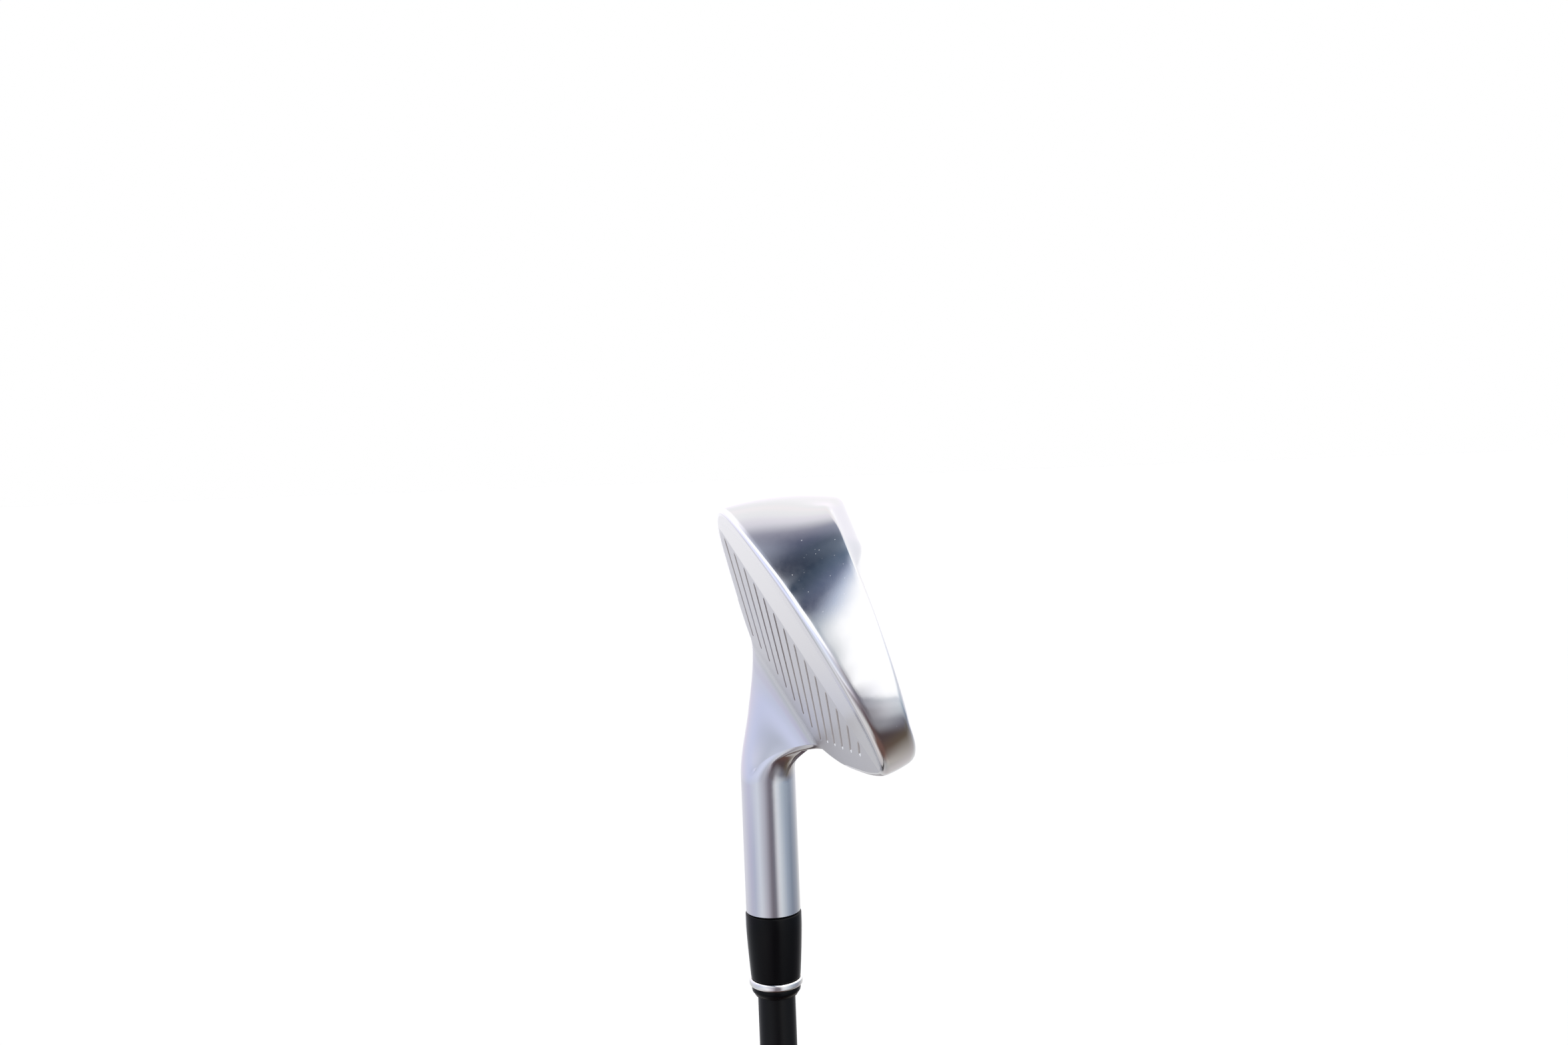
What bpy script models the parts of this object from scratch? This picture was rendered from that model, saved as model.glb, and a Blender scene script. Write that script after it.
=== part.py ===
"""An iron golf club, held head up: forged head, ferrule, shaft and grip. Metres, +Z up.

The shaft's axis is the world's Z axis and the butt of the grip is at the origin. The head is at the
top, its toe towards -Y and its face towards -X.
"""

import math

import bmesh
import bpy
import numpy as np

MM = 0.001

# How the head sits on the shaft
CLUB_LENGTH = 940 * MM  # from the butt to the point where the shaft's axis meets the ground
LOFT = math.radians(31.25)
LIE = math.radians(62.45)
FACE_FORWARD = 3.9 * MM  # the face plane's lead over the shaft's axis, at the leading edge
FACE_HEIGHT = 3.0 * MM  # the leading edge's sharp corner over the ground

# Hosel, with distances up the shaft's axis from the ground
HOSEL_RADIUS = 6.54 * MM
HOSEL_TOP = 70.6 * MM
HOSEL_CHAMFER = 0.35 * MM
BORE_RADIUS = 4.82 * MM
BORE_BOTTOM = 35.0 * MM
NECK_END = 31.5 * MM  # where the neck has become the round hosel, on average
NECK_END_TILT = 6.9 * MM  # later on the toe's side, sooner on the heel's
NECK_END_FRONT = 4.5 * MM  # later on the face's side and the back's
NECK_FACE_ANGLES = (55, -40)  # round the axis from the face, where the topline and the sole start
NECK_BACK_ANGLES = (225, 130)

# Outline of the blade, from the heel along the leading edge, round the toe and back along the
# topline. x runs from heel to toe along the ground and s up the face.
# Columns: flat face x, s; the front edge's rounding; back corner x, s; its rounding; wall's bulge
OUTLINE = MM * np.array(
    [
        (1.0, 3.3, 2.2, 1.0, 8.0, 1.6, 2.2),
        (10.0, 2.55, 2.2, 10.0, 9.3, 1.6, 2.4),
        (24.0, 2.2, 2.2, 25.0, 10.6, 1.6, 2.5),
        (42.0, 2.2, 2.2, 43.0, 10.8, 1.6, 2.5),
        (58.0, 2.65, 2.1, 58.5, 11.2, 1.6, 2.5),
        (70.0, 4.3, 1.8, 71.0, 13.2, 1.6, 1.9),
        (79.0, 7.9, 1.3, 80.4, 17.6, 1.4, 1.1),
        (84.6, 14.5, 1.0, 86.3, 20.2, 1.0, 0.3),
        (88.0, 23.5, 1.0, 89.6, 25.4, 0.5, 0.3),
        (89.8, 33.0, 1.2, 91.0, 33.2, 0.5, 0.2),
        (88.6, 42.5, 1.4, 90.0, 43.0, 0.5, 0.2),
        (85.2, 51.5, 1.5, 86.7, 52.2, 0.6, 0.2),
        (79.2, 58.2, 1.4, 80.6, 59.8, 1.2, 0.3),
        (69.5, 60.5, 1.2, 69.8, 62.2, 1.8, 0.3),
        (55.0, 56.9, 1.1, 54.8, 58.3, 1.6, 0.3),
        (38.0, 50.8, 1.1, 37.8, 52.0, 1.6, 0.3),
        (22.0, 44.5, 1.1, 21.8, 45.7, 1.6, 0.3),
        (10.0, 38.7, 1.3, 9.7, 40.0, 1.6, 0.4),
        (1.0, 33.5, 1.6, 0.7, 35.0, 1.6, 0.5),
    ]
)
OUTLINE_STEP = 3.2 * MM
FRONT_EDGE_STEPS = 3
WALL_STEPS = 5
BACK_EDGE_STEPS = 2
FACE_STEPS = 8  # along the line where the face meets the neck
BACK_STEPS = 8
NECK_STEPS = 9

# Back of the blade: a rim that thins towards the topline, with a muscle low on it
RIM_THICKNESS = 7.1 * MM
RIM_TAPER = 0.218
RIM_TOP_AT_HEEL = 44.8 * MM
RIM_TOP_RISE = 0.18
MUSCLE_DEPTH = 4.9 * MM
MUSCLE_HEEL = (2.0 * MM, 22.0 * MM)
MUSCLE_TOE = (74.0 * MM, 88.0 * MM)
MUSCLE_BOTTOM = (0.0, 12.0 * MM)
MUSCLE_TOP = (25.0 * MM, 31.5 * MM)

# Cavity above the muscle. Its corners are x, s; the floor's are inside them.
CAVITY = MM * np.array(
    [
        (11.5, 30.4),
        (28.0, 29.6),
        (48.0, 29.4),
        (66.0, 29.8),
        (79.0, 32.2),
        (85.0, 38.0),
        (84.2, 45.0),
        (80.0, 52.4),
        (71.0, 56.6),
        (56.0, 53.4),
        (38.0, 47.2),
        (22.0, 40.9),
        (12.0, 35.8),
    ]
)
CAVITY_CENTRE = np.array((48.0, 41.0)) * MM
CAVITY_EDGE = 0.8 * MM
CAVITY_DRAFT = 2.0 * MM
FACE_THICKNESS = 2.7 * MM
RIM_STEPS = 7

# Pocket that runs down behind the face from the cavity, inside the muscle. A row is a ring of the
# cavity's wall: how far it drops and moves back where the pocket is, its share of the way to the floor
POCKET = (
    (2.5 * MM, 1.0 * MM, 0.06),
    (9.5 * MM, 4.5 * MM, 0.10),
    (19.0 * MM, 4.0 * MM, 0.14),
    (24.2 * MM, 0.0, 0.75),
    (23.4 * MM, 0.0, 1.0),
)
POCKET_HEEL = (9.0 * MM, 20.0 * MM)
POCKET_TOE = (66.0 * MM, 80.0 * MM)
POCKET_TOP = (31.0 * MM, 38.0 * MM)

# Grooves
GROOVE_COUNT = 14
GROOVE_PITCH = 3.683 * MM
GROOVE_FIRST = 5.38 * MM
GROOVE_WIDTH = 0.9 * MM
GROOVE_FLOOR = 0.45 * MM
GROOVE_DEPTH = 0.45 * MM
GROOVE_TOE = 64.6 * MM
GROOVE_HEEL = 9.0 * MM
GROOVE_TOP_HEEL = (35.3 * MM, 11.3 * MM)  # the s at which the heel ends start to follow the topline
GROOVE_TOP_SLOPE = 2.43

# Ferrule, down the shaft from the hosel
FERRULE_TOP_RADIUS = 6.74 * MM
FERRULE_BOTTOM_RADIUS = 6.0 * MM
FERRULE_LENGTH = 15.9 * MM
RING_RADIUS = 6.42 * MM
RING_LENGTH = 1.7 * MM
COLLAR_RADIUS = 5.9 * MM
COLLAR_BOTTOM_RADIUS = 5.2 * MM
COLLAR_LENGTH = 2.4 * MM

# Shaft: a composite tube, parallel at the tip and in the grip
TIP_RADIUS = 4.52 * MM
TIP_BORE = 2.9 * MM
BUTT_RADIUS = 7.62 * MM
BUTT_BORE = 6.35 * MM
SHAFT_TIP = 37.0 * MM  # up the axis from the ground
SHAFT_TIP_TAPER = 190.0 * MM
SHAFT_BUTT_TAPER = 250.0 * MM  # from the butt
SHAFT_BUTT = 4.2 * MM

# Tip weight: a head that closes the bore's bottom, and a stem inside the shaft
WEIGHT_RADIUS = 4.4 * MM
WEIGHT_HEAD = 1.5 * MM
WEIGHT_STEM_RADIUS = 2.75 * MM
WEIGHT_STEM = 14.0 * MM

# Grip, from the butt
GRIP_LENGTH = 267.0 * MM
GRIP_BUTT_RADIUS = 13.4 * MM
GRIP_MIDDLE_RADIUS = 11.4 * MM
GRIP_MOUTH_RADIUS = 9.5 * MM
GRIP_LIP = 10.1 * MM
CAP_THICKNESS = 3.6 * MM
CAP_EDGE = 2.2 * MM
CAP_VENT = 1.6 * MM
TAPE_THICKNESS = 0.18 * MM
TAPE_LENGTH = 258.0 * MM

CLEARANCE = 0.05 * MM  # between pieces that are bonded or pressed together
ROUND_STEPS = 40


def clear_scene():
    for obj in list(bpy.data.objects):
        bpy.data.objects.remove(obj, do_unlink=True)


def make_collection(name):
    collection = bpy.data.collections.new(name)
    bpy.context.scene.collection.children.link(collection)
    return collection


def make_material(name, colour, roughness, metallic):
    material = bpy.data.materials.new(name)
    material.use_nodes = True
    shader = material.node_tree.nodes["Principled BSDF"]
    shader.inputs["Base Color"].default_value = (*colour, 1)
    shader.inputs["Roughness"].default_value = roughness
    shader.inputs["Metallic"].default_value = metallic
    return material


def add_object(name, mesh, material, collection):
    mesh.materials.append(material)
    mesh.shade_smooth()
    mesh.set_sharp_from_angle(angle=math.radians(32))
    obj = bpy.data.objects.new(name, mesh)
    collection.objects.link(obj)
    return obj


def turned(name, profile, material, collection):
    """A closed profile of (radius, z) points, turned about the Z axis. It runs down its outer side."""
    mesh = bpy.data.meshes.new(name)
    count = len(profile)
    edges = [(i, (i + 1) % count) for i in range(count)]
    mesh.from_pydata([(radius, 0, z) for radius, z in profile], edges, [])
    obj = add_object(name, mesh, material, collection)
    screw = obj.modifiers.new("Turn", "SCREW")
    screw.steps = ROUND_STEPS
    screw.render_steps = ROUND_STEPS
    screw.use_merge_vertices = True
    screw.merge_threshold = 0.00001
    return obj


def smooth_step(value, low, high):
    t = np.clip((np.asarray(value, float) - low) / (high - low), 0, 1)
    return t * t * (3 - 2 * t)


def catmull_rom(points, places):
    """Points on the smooth curve through the given points, at places counted in points."""
    points = np.asarray(points, float)
    ends = np.vstack([2 * points[0] - points[1], points, 2 * points[-1] - points[-2]])
    index = np.minimum(np.floor(places).astype(int), len(points) - 2)
    t = (places - index)[:, None]
    a, b, c, d = (ends[index + k] for k in range(4))
    return 0.5 * (
        2 * b + (c - a) * t + (2 * a - 5 * b + 4 * c - d) * t**2 + (3 * b - a - 3 * c + d) * t**3
    )


def closed_catmull_rom(points, places):
    looped = np.vstack([points[-1], points, points[0], points[1]])
    return catmull_rom(looped, np.asarray(places) % len(points) + 1)


def ground_to_club(x, y, z):
    """From the head as it sits on the ground, x to the toe and y to the target, to the club's frame."""
    sin_lie, cos_lie = math.sin(LIE), math.cos(LIE)
    across = -(sin_lie * x + cos_lie * z)
    along = CLUB_LENGTH + cos_lie * x - sin_lie * z
    return np.stack([-y, across, along], axis=-1)


def face_to_club(points):
    """From (x, s, depth behind the face) to the club's frame."""
    x, s, depth = np.moveaxis(np.asarray(points, float), -1, 0)
    y = FACE_FORWARD - s * math.sin(LOFT) - depth * math.cos(LOFT)
    z = FACE_HEIGHT + s * math.cos(LOFT) - depth * math.sin(LOFT)
    return ground_to_club(x, y, z)


def back_depth(x, s):
    """How far behind the face the back of the blade is, outside the cavity."""
    rim_top = RIM_TOP_AT_HEEL + RIM_TOP_RISE * x
    rim = RIM_THICKNESS + RIM_TAPER * np.maximum(rim_top - s, 0)
    muscle = smooth_step(x, *MUSCLE_HEEL) * (1 - smooth_step(x, *MUSCLE_TOE))
    muscle = muscle * smooth_step(s, *MUSCLE_BOTTOM) * (1 - smooth_step(s, *MUSCLE_TOP))
    return rim + MUSCLE_DEPTH * muscle


def rounded(start, corner, end, steps):
    """Points of the round edge that replaces a corner, both ends included."""
    t = np.linspace(0, 1, steps + 1)[:, None, None]
    return (1 - t) ** 2 * start + 2 * t * (1 - t) * corner + t**2 * end


def unit(vectors):
    return vectors / np.linalg.norm(vectors, axis=-1, keepdims=True)


def outline_places():
    """Where the blade's cross-sections are, in rows of OUTLINE: about evenly spaced."""
    spans = np.linalg.norm(np.diff(OUTLINE[:, :2], axis=0), axis=1)
    counts = np.maximum(np.round(spans / OUTLINE_STEP), 2).astype(int)
    places = [row + k / count for row, count in enumerate(counts) for k in range(count)]
    return np.array(places + [len(OUTLINE) - 1.0])


def ribbon():
    """The wall round the blade: rows from the face to the back, columns from heel to heel."""
    places = outline_places()
    values = catmull_rom(OUTLINE, places)
    ahead = catmull_rom(OUTLINE[:, :2], places + 0.01) - values[:, :2]
    ahead[-1] = values[-1, :2] - catmull_rom(OUTLINE[:, :2], places[-1:] - 0.01)[0]
    along = unit(ahead)
    outward = np.stack([along[:, 1], -along[:, 0], 0 * along[:, 0]], axis=-1)

    face = np.column_stack([values[:, :2], np.zeros(len(values))])
    front_corner = face + values[:, 2:3] * outward
    back_corner = np.column_stack([values[:, 3:5], back_depth(values[:, 3], values[:, 4])])
    straight = back_corner - front_corner
    bulge = values[:, 6:7] * outward

    def wall(v):
        return front_corner + v * straight + 4 * v * (1 - v) * bulge

    length = np.linalg.norm(straight, axis=1)[:, None]
    front_share = values[:, 2:3] / length
    back_share = 1 - values[:, 5:6] / length
    inward = back_corner - values[:, 5:6] * outward
    inward[:, 2] = back_depth(inward[:, 0], inward[:, 1])

    front_rows = rounded(face, front_corner, wall(front_share), FRONT_EDGE_STEPS)
    shares = np.linspace(0, 1, WALL_STEPS + 1)[1:-1, None, None]
    wall_rows = wall(front_share + shares * (back_share - front_share))
    back_rows = rounded(wall(back_share), back_corner, inward, BACK_EDGE_STEPS)
    return np.concatenate([front_rows, wall_rows, back_rows])


class Shell:
    """Points and faces of one closed skin, gathered ring by ring."""

    def __init__(self):
        self.points = []
        self.faces = []

    def add(self, points):
        first = len(self.points)
        self.points.extend(tuple(float(v) for v in p) for p in points)
        return list(range(first, len(self.points)))

    def bridge(self, ring, next_ring, closed=True):
        count = len(ring)
        for i in range(count if closed else count - 1):
            j = (i + 1) % count
            self.faces.append((ring[i], ring[j], next_ring[j], next_ring[i]))

    def fill(self, ring):
        self.faces.append(tuple(ring))

    def mesh(self, name):
        mesh = bpy.data.meshes.new(name)
        mesh.from_pydata(self.points, [], self.faces)
        work = bmesh.new()
        work.from_mesh(mesh)
        bmesh.ops.recalc_face_normals(work, faces=work.faces)
        work.to_mesh(mesh)
        work.free()
        return mesh


def hosel_point(angle, up, radius):
    """A point round the shaft's axis, the angle counted from the face towards the toe."""
    side = radius * np.sin(angle)
    x = -up * math.cos(LIE) + side * math.sin(LIE)
    z = up * math.sin(LIE) + side * math.cos(LIE)
    return ground_to_club(x, radius * np.cos(angle), z)


def hermite(start, start_tangent, end, end_tangent, t):
    return (
        (2 * t**3 - 3 * t**2 + 1) * start
        + (t**3 - 2 * t**2 + t) * start_tangent
        + (3 * t**2 - 2 * t**3) * end
        + (t**3 - t**2) * end_tangent
    )


def cavity_ring(angles, inset):
    """The cavity's outline, moved in by inset, at the given angles round its centre."""
    places = np.linspace(0, len(CAVITY), 600, endpoint=False)
    curve = closed_catmull_rom(CAVITY, places) - CAVITY_CENTRE
    radius = np.linalg.norm(curve, axis=1)
    curve = curve * (1 - inset / radius)[:, None]
    turn = np.unwrap(np.arctan2(curve[:, 1], curve[:, 0]))
    order = np.argsort(np.mod(turn, 2 * np.pi))
    turn, curve = np.mod(turn, 2 * np.pi)[order], curve[order]
    wanted = np.mod(angles, 2 * np.pi)
    columns = [np.interp(wanted, turn, curve[:, k], period=2 * np.pi) for k in range(2)]
    return np.column_stack(columns) + CAVITY_CENTRE


def neck_angles(counts):
    """Angles round the hosel for the points of the blade's heel section, side by side."""
    face, back = NECK_FACE_ANGLES, NECK_BACK_ANGLES
    sides = [(face[0], face[1]), (face[1], back[0] - 360), (back[0] - 360, back[1] - 360)]
    sides.append((back[1] - 360, face[0] - 360))
    parts = [np.linspace(a, b, n, endpoint=False) for (a, b), n in zip(sides, counts)]
    return np.radians(np.concatenate(parts))


def head_mesh():
    shell = Shell()
    rows = ribbon()
    row_count, column_count = rows.shape[:2]
    grid = [shell.add(face_to_club(row)) for row in rows]
    for upper, lower in zip(grid, grid[1:]):
        shell.bridge(upper, lower, closed=False)

    def heel_line(start, end, steps, on_back):
        points = np.linspace(start, end, steps + 1)[1:-1]
        if on_back:
            points[:, 2] = back_depth(points[:, 0], points[:, 1])
        return points

    face_line = heel_line(rows[0, -1], rows[0, 0], FACE_STEPS, on_back=False)
    back_line = heel_line(rows[-1, 0], rows[-1, -1], BACK_STEPS, on_back=True)
    face_ids = shell.add(face_to_club(face_line))
    back_ids = shell.add(face_to_club(back_line))
    shell.fill(grid[0] + face_ids)

    outer = np.vstack([rows[-1], back_line[::-1]])
    outer_ids = grid[-1] + back_ids[::-1]
    from_centre = outer[:, :2] - CAVITY_CENTRE
    angles = np.arctan2(from_centre[:, 1], from_centre[:, 0])
    edge = cavity_ring(angles, 0)
    ring_ids = outer_ids
    for k in range(1, RIM_STEPS + 1):
        flat = outer[:, :2] + (edge - outer[:, :2]) * k / RIM_STEPS
        ring = np.column_stack([flat, back_depth(flat[:, 0], flat[:, 1])])
        next_ids = shell.add(face_to_club(ring))
        shell.bridge(ring_ids, next_ids)
        ring_ids = next_ids
    lip_depth = back_depth(edge[:, 0], edge[:, 1]) - CAVITY_EDGE
    in_pocket = smooth_step(edge[:, 0], *POCKET_HEEL) * (1 - smooth_step(edge[:, 0], *POCKET_TOE))
    in_pocket = in_pocket * (1 - smooth_step(edge[:, 1], *POCKET_TOP))
    for drop, back, share in ((0, 0, 0), *POCKET):
        flat = cavity_ring(angles, CAVITY_EDGE + share * (CAVITY_DRAFT - CAVITY_EDGE))
        flat[:, 1] -= drop * in_pocket
        depth = lip_depth + share * (FACE_THICKNESS - lip_depth) + back * in_pocket
        next_ids = shell.add(face_to_club(np.column_stack([flat, depth])))
        shell.bridge(ring_ids, next_ids)
        ring_ids = next_ids
    shell.fill(ring_ids)

    section = np.vstack([rows[0, -1:], face_line, rows[:, 0], back_line, rows[:0:-1, -1]])
    section_ids = [grid[0][-1]] + face_ids + [row[0] for row in grid] + back_ids
    section_ids += [row[-1] for row in grid[:0:-1]]
    nudge = np.zeros_like(section)
    nudge[:, 0] = -0.5 * MM
    nudged = section + nudge
    on_back = slice(1 + len(face_line) + row_count, 1 + len(face_line) + row_count + len(back_line))
    nudged[on_back, 2] = back_depth(nudged[on_back, 0], nudged[on_back, 1])
    sole = slice(1 + len(face_line), 1 + len(face_line) + row_count)
    nudged[sole] = 2 * rows[:, 0] - rows[:, 1]
    nudged[0] = 2 * rows[0, -1] - rows[0, -2]
    top = slice(on_back.stop, len(section))
    nudged[top] = 2 * rows[:0:-1, -1] - rows[:0:-1, -2]

    start = face_to_club(section)
    leave = unit(face_to_club(nudged) - start)
    counts = (1 + len(face_line), row_count - 1, 1 + len(back_line), row_count - 1)
    turn = neck_angles(counts)
    up = NECK_END + NECK_END_TILT * np.sin(turn) + NECK_END_FRONT * np.cos(turn) ** 2
    end = hosel_point(turn, up, HOSEL_RADIUS)
    reach = np.linalg.norm(end - start, axis=1)[:, None]
    arrive = np.array([0, 0, -1.0]) * reach
    ring_ids = section_ids
    for k in range(1, NECK_STEPS + 1):
        ring = hermite(start, leave * reach, end, arrive, k / NECK_STEPS)
        next_ids = shell.add(ring)
        shell.bridge(ring_ids, next_ids)
        ring_ids = next_ids

    turning = [
        (HOSEL_TOP - HOSEL_CHAMFER, HOSEL_RADIUS),
        (HOSEL_TOP, HOSEL_RADIUS - HOSEL_CHAMFER),
        (HOSEL_TOP, BORE_RADIUS),
        (BORE_BOTTOM, BORE_RADIUS),
    ]
    for height, radius in turning:
        next_ids = shell.add(hosel_point(turn, height, radius))
        shell.bridge(ring_ids, next_ids)
        ring_ids = next_ids
    shell.fill(ring_ids)
    return shell.mesh("head")


def groove_heel(s):
    start_s, start_x = GROOVE_TOP_HEEL
    return max(GROOVE_HEEL, start_x + (s - start_s) * GROOVE_TOP_SLOPE)


def groove_cutter(collection, material):
    """All the grooves as one cutter: bars with sloping sides that stand a little out of the face."""
    shell = Shell()
    slope = (GROOVE_WIDTH - GROOVE_FLOOR) / 2 / GROOVE_DEPTH
    for index in range(GROOVE_COUNT):
        middle = GROOVE_FIRST + index * GROOVE_PITCH
        rings = []
        for x in (groove_heel(middle), GROOVE_TOE):
            corners = []
            for depth in (-GROOVE_DEPTH, GROOVE_DEPTH):
                half = GROOVE_FLOOR / 2 + slope * (GROOVE_DEPTH - depth)
                corners.append([(x, middle - half, depth), (x, middle + half, depth)])
            ring = [corners[0][0], corners[0][1], corners[1][1], corners[1][0]]
            rings.append(shell.add(face_to_club(ring)))
        shell.bridge(*rings)
        shell.fill(rings[0])
        shell.fill(rings[1])
    obj = add_object("groove_cutter", shell.mesh("groove_cutter"), material, collection)
    obj.hide_render = True
    obj.display_type = "WIRE"
    return obj


def make_head(parts, cutters):
    chrome = make_material("satin_chrome", (0.72, 0.72, 0.74), 0.16, 1.0)
    head = add_object("head", head_mesh(), chrome, parts)
    cut = head.modifiers.new("Grooves", "BOOLEAN")
    cut.operation = "DIFFERENCE"
    cut.solver = "EXACT"
    cut.object = groove_cutter(cutters, chrome)


def make_ferrule(parts):
    black = make_material("gloss_black_plastic", (0.012, 0.012, 0.013), 0.12, 0.0)
    silver = make_material("polished_ring", (0.85, 0.85, 0.84), 0.08, 1.0)
    bore = TIP_RADIUS + CLEARANCE
    top = CLUB_LENGTH - HOSEL_TOP - CLEARANCE
    bottom = top - FERRULE_LENGTH
    body = [
        (FERRULE_TOP_RADIUS - 0.3 * MM, top),
        (FERRULE_TOP_RADIUS, top - 0.3 * MM),
        (FERRULE_TOP_RADIUS, top - 3 * MM),
        (FERRULE_BOTTOM_RADIUS, bottom),
        (bore, bottom),
        (bore, top),
    ]
    turned("ferrule_body", body, black, parts)
    ring_top = bottom - CLEARANCE
    ring_bottom = ring_top - RING_LENGTH
    edge = 0.45 * MM
    ring = [
        (RING_RADIUS - edge, ring_top),
        (RING_RADIUS, ring_top - edge),
        (RING_RADIUS, ring_bottom + edge),
        (RING_RADIUS - edge, ring_bottom),
        (bore, ring_bottom),
        (bore, ring_top),
    ]
    turned("ferrule_ring", ring, silver, parts)
    collar_top = ring_bottom - CLEARANCE
    collar_bottom = collar_top - COLLAR_LENGTH
    collar = [
        (COLLAR_RADIUS, collar_top),
        (COLLAR_RADIUS, collar_top - COLLAR_LENGTH / 2),
        (COLLAR_BOTTOM_RADIUS, collar_bottom),
        (bore, collar_bottom),
        (bore, collar_top),
    ]
    turned("ferrule_collar", collar, black, parts)


def make_shaft(parts):
    black = make_material("satin_black_composite", (0.016, 0.017, 0.02), 0.38, 0.0)
    tip = CLUB_LENGTH - SHAFT_TIP
    tip_taper = CLUB_LENGTH - SHAFT_TIP_TAPER
    profile = [
        (TIP_RADIUS - 0.3 * MM, tip),
        (TIP_RADIUS, tip - 0.3 * MM),
        (TIP_RADIUS, tip_taper),
        (BUTT_RADIUS, SHAFT_BUTT_TAPER),
        (BUTT_RADIUS, SHAFT_BUTT),
        (BUTT_BORE, SHAFT_BUTT),
        (BUTT_BORE, SHAFT_BUTT_TAPER),
        (TIP_BORE, tip_taper),
        (TIP_BORE, tip),
    ]
    turned("shaft", profile, black, parts)


def make_hosel_inserts(parts):
    epoxy = make_material("epoxy", (0.45, 0.40, 0.30), 0.4, 0.0)
    brass = make_material("brass", (0.78, 0.60, 0.30), 0.25, 1.0)
    inner = TIP_RADIUS + CLEARANCE
    outer = BORE_RADIUS - 2 * CLEARANCE
    shaft_tip = CLUB_LENGTH - SHAFT_TIP
    hosel_top = CLUB_LENGTH - HOSEL_TOP + CLEARANCE
    sleeve = [(outer, shaft_tip), (outer, hosel_top), (inner, hosel_top), (inner, shaft_tip)]
    turned("hosel_epoxy", sleeve, epoxy, parts)
    head_bottom = shaft_tip + CLEARANCE
    stem_end = shaft_tip - WEIGHT_STEM
    weight = [
        (0, head_bottom + WEIGHT_HEAD),
        (WEIGHT_RADIUS, head_bottom + WEIGHT_HEAD),
        (WEIGHT_RADIUS, head_bottom),
        (WEIGHT_STEM_RADIUS, head_bottom),
        (WEIGHT_STEM_RADIUS, stem_end),
        (0, stem_end - 1.2 * MM),
    ]
    turned("tip_weight", weight, brass, parts)


def make_grip(parts):
    rubber = make_material("grip_rubber", (0.022, 0.022, 0.022), 0.75, 0.0)
    hard = make_material("cap_rubber", (0.018, 0.018, 0.018), 0.55, 0.0)
    tape = make_material("grip_tape", (0.75, 0.74, 0.68), 0.8, 0.0)
    tape_inner = BUTT_RADIUS + CLEARANCE
    tape_outer = tape_inner + TAPE_THICKNESS
    grip_bore = tape_outer + CLEARANCE
    tape_ring = [
        (tape_outer, TAPE_LENGTH),
        (tape_outer, SHAFT_BUTT),
        (tape_inner, SHAFT_BUTT),
        (tape_inner, TAPE_LENGTH),
    ]
    turned("grip_tape", tape_ring, tape, parts)
    sleeve_bottom = CAP_THICKNESS + CLEARANCE
    sleeve = [
        (GRIP_MOUTH_RADIUS, GRIP_LENGTH),
        (GRIP_LIP, GRIP_LENGTH - 1.5 * MM),
        (GRIP_LIP, GRIP_LENGTH - 6 * MM),
        (GRIP_MOUTH_RADIUS, GRIP_LENGTH - 8 * MM),
        (GRIP_MIDDLE_RADIUS, GRIP_LENGTH * 0.42),
        (GRIP_BUTT_RADIUS - 0.7 * MM, 30 * MM),
        (GRIP_BUTT_RADIUS, 8 * MM),
        (GRIP_BUTT_RADIUS, sleeve_bottom),
        (grip_bore, sleeve_bottom),
        (grip_bore, GRIP_LENGTH),
    ]
    turned("grip_sleeve", sleeve, rubber, parts)
    cap = [
        (GRIP_BUTT_RADIUS, CAP_THICKNESS),
        (GRIP_BUTT_RADIUS, CAP_EDGE),
        (GRIP_BUTT_RADIUS - 0.3 * CAP_EDGE, 0.3 * CAP_EDGE),
        (GRIP_BUTT_RADIUS - CAP_EDGE, 0),
        (CAP_VENT, 0),
        (CAP_VENT, CAP_THICKNESS),
    ]
    turned("grip_cap", cap, hard, parts)


def main():
    clear_scene()
    parts = make_collection("iron_golf_club")
    cutters = make_collection("cutters")
    make_head(parts, cutters)
    make_ferrule(parts)
    make_shaft(parts)
    make_hosel_inserts(parts)
    make_grip(parts)


main()
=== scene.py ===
"""The looks of the iron golf club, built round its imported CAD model. Metres, +Z up the shaft.

The frame is part.py's: the shaft's axis is the Z axis, the butt of the grip is at the origin, the
head is at the top with its toe towards -Y and its face towards -X.
"""

import math

import bmesh
import bpy
import numpy as np
from mathutils import Euler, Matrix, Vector
from mathutils.geometry import delaunay_2d_cdt


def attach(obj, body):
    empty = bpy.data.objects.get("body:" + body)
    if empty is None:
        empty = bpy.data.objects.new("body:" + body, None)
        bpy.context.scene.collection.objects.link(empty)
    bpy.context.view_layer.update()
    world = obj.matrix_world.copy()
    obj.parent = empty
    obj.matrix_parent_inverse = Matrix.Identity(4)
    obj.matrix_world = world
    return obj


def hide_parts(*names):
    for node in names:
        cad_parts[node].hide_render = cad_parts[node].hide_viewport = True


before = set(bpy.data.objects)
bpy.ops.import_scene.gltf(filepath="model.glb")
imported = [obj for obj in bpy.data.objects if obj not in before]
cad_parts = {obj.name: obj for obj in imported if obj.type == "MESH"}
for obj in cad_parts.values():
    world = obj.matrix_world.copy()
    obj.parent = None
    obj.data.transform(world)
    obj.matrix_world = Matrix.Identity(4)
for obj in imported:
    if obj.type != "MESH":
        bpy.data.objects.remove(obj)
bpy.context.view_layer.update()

MM = 0.001

# Camera, at the height of the head and beyond its toe
CAMERA_PLACE = (0.02946, -0.32294, 0.97859)
CAMERA_TURN = (87.21, 2.20, 4.02)
CAMERA_LENS = 31.36

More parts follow.
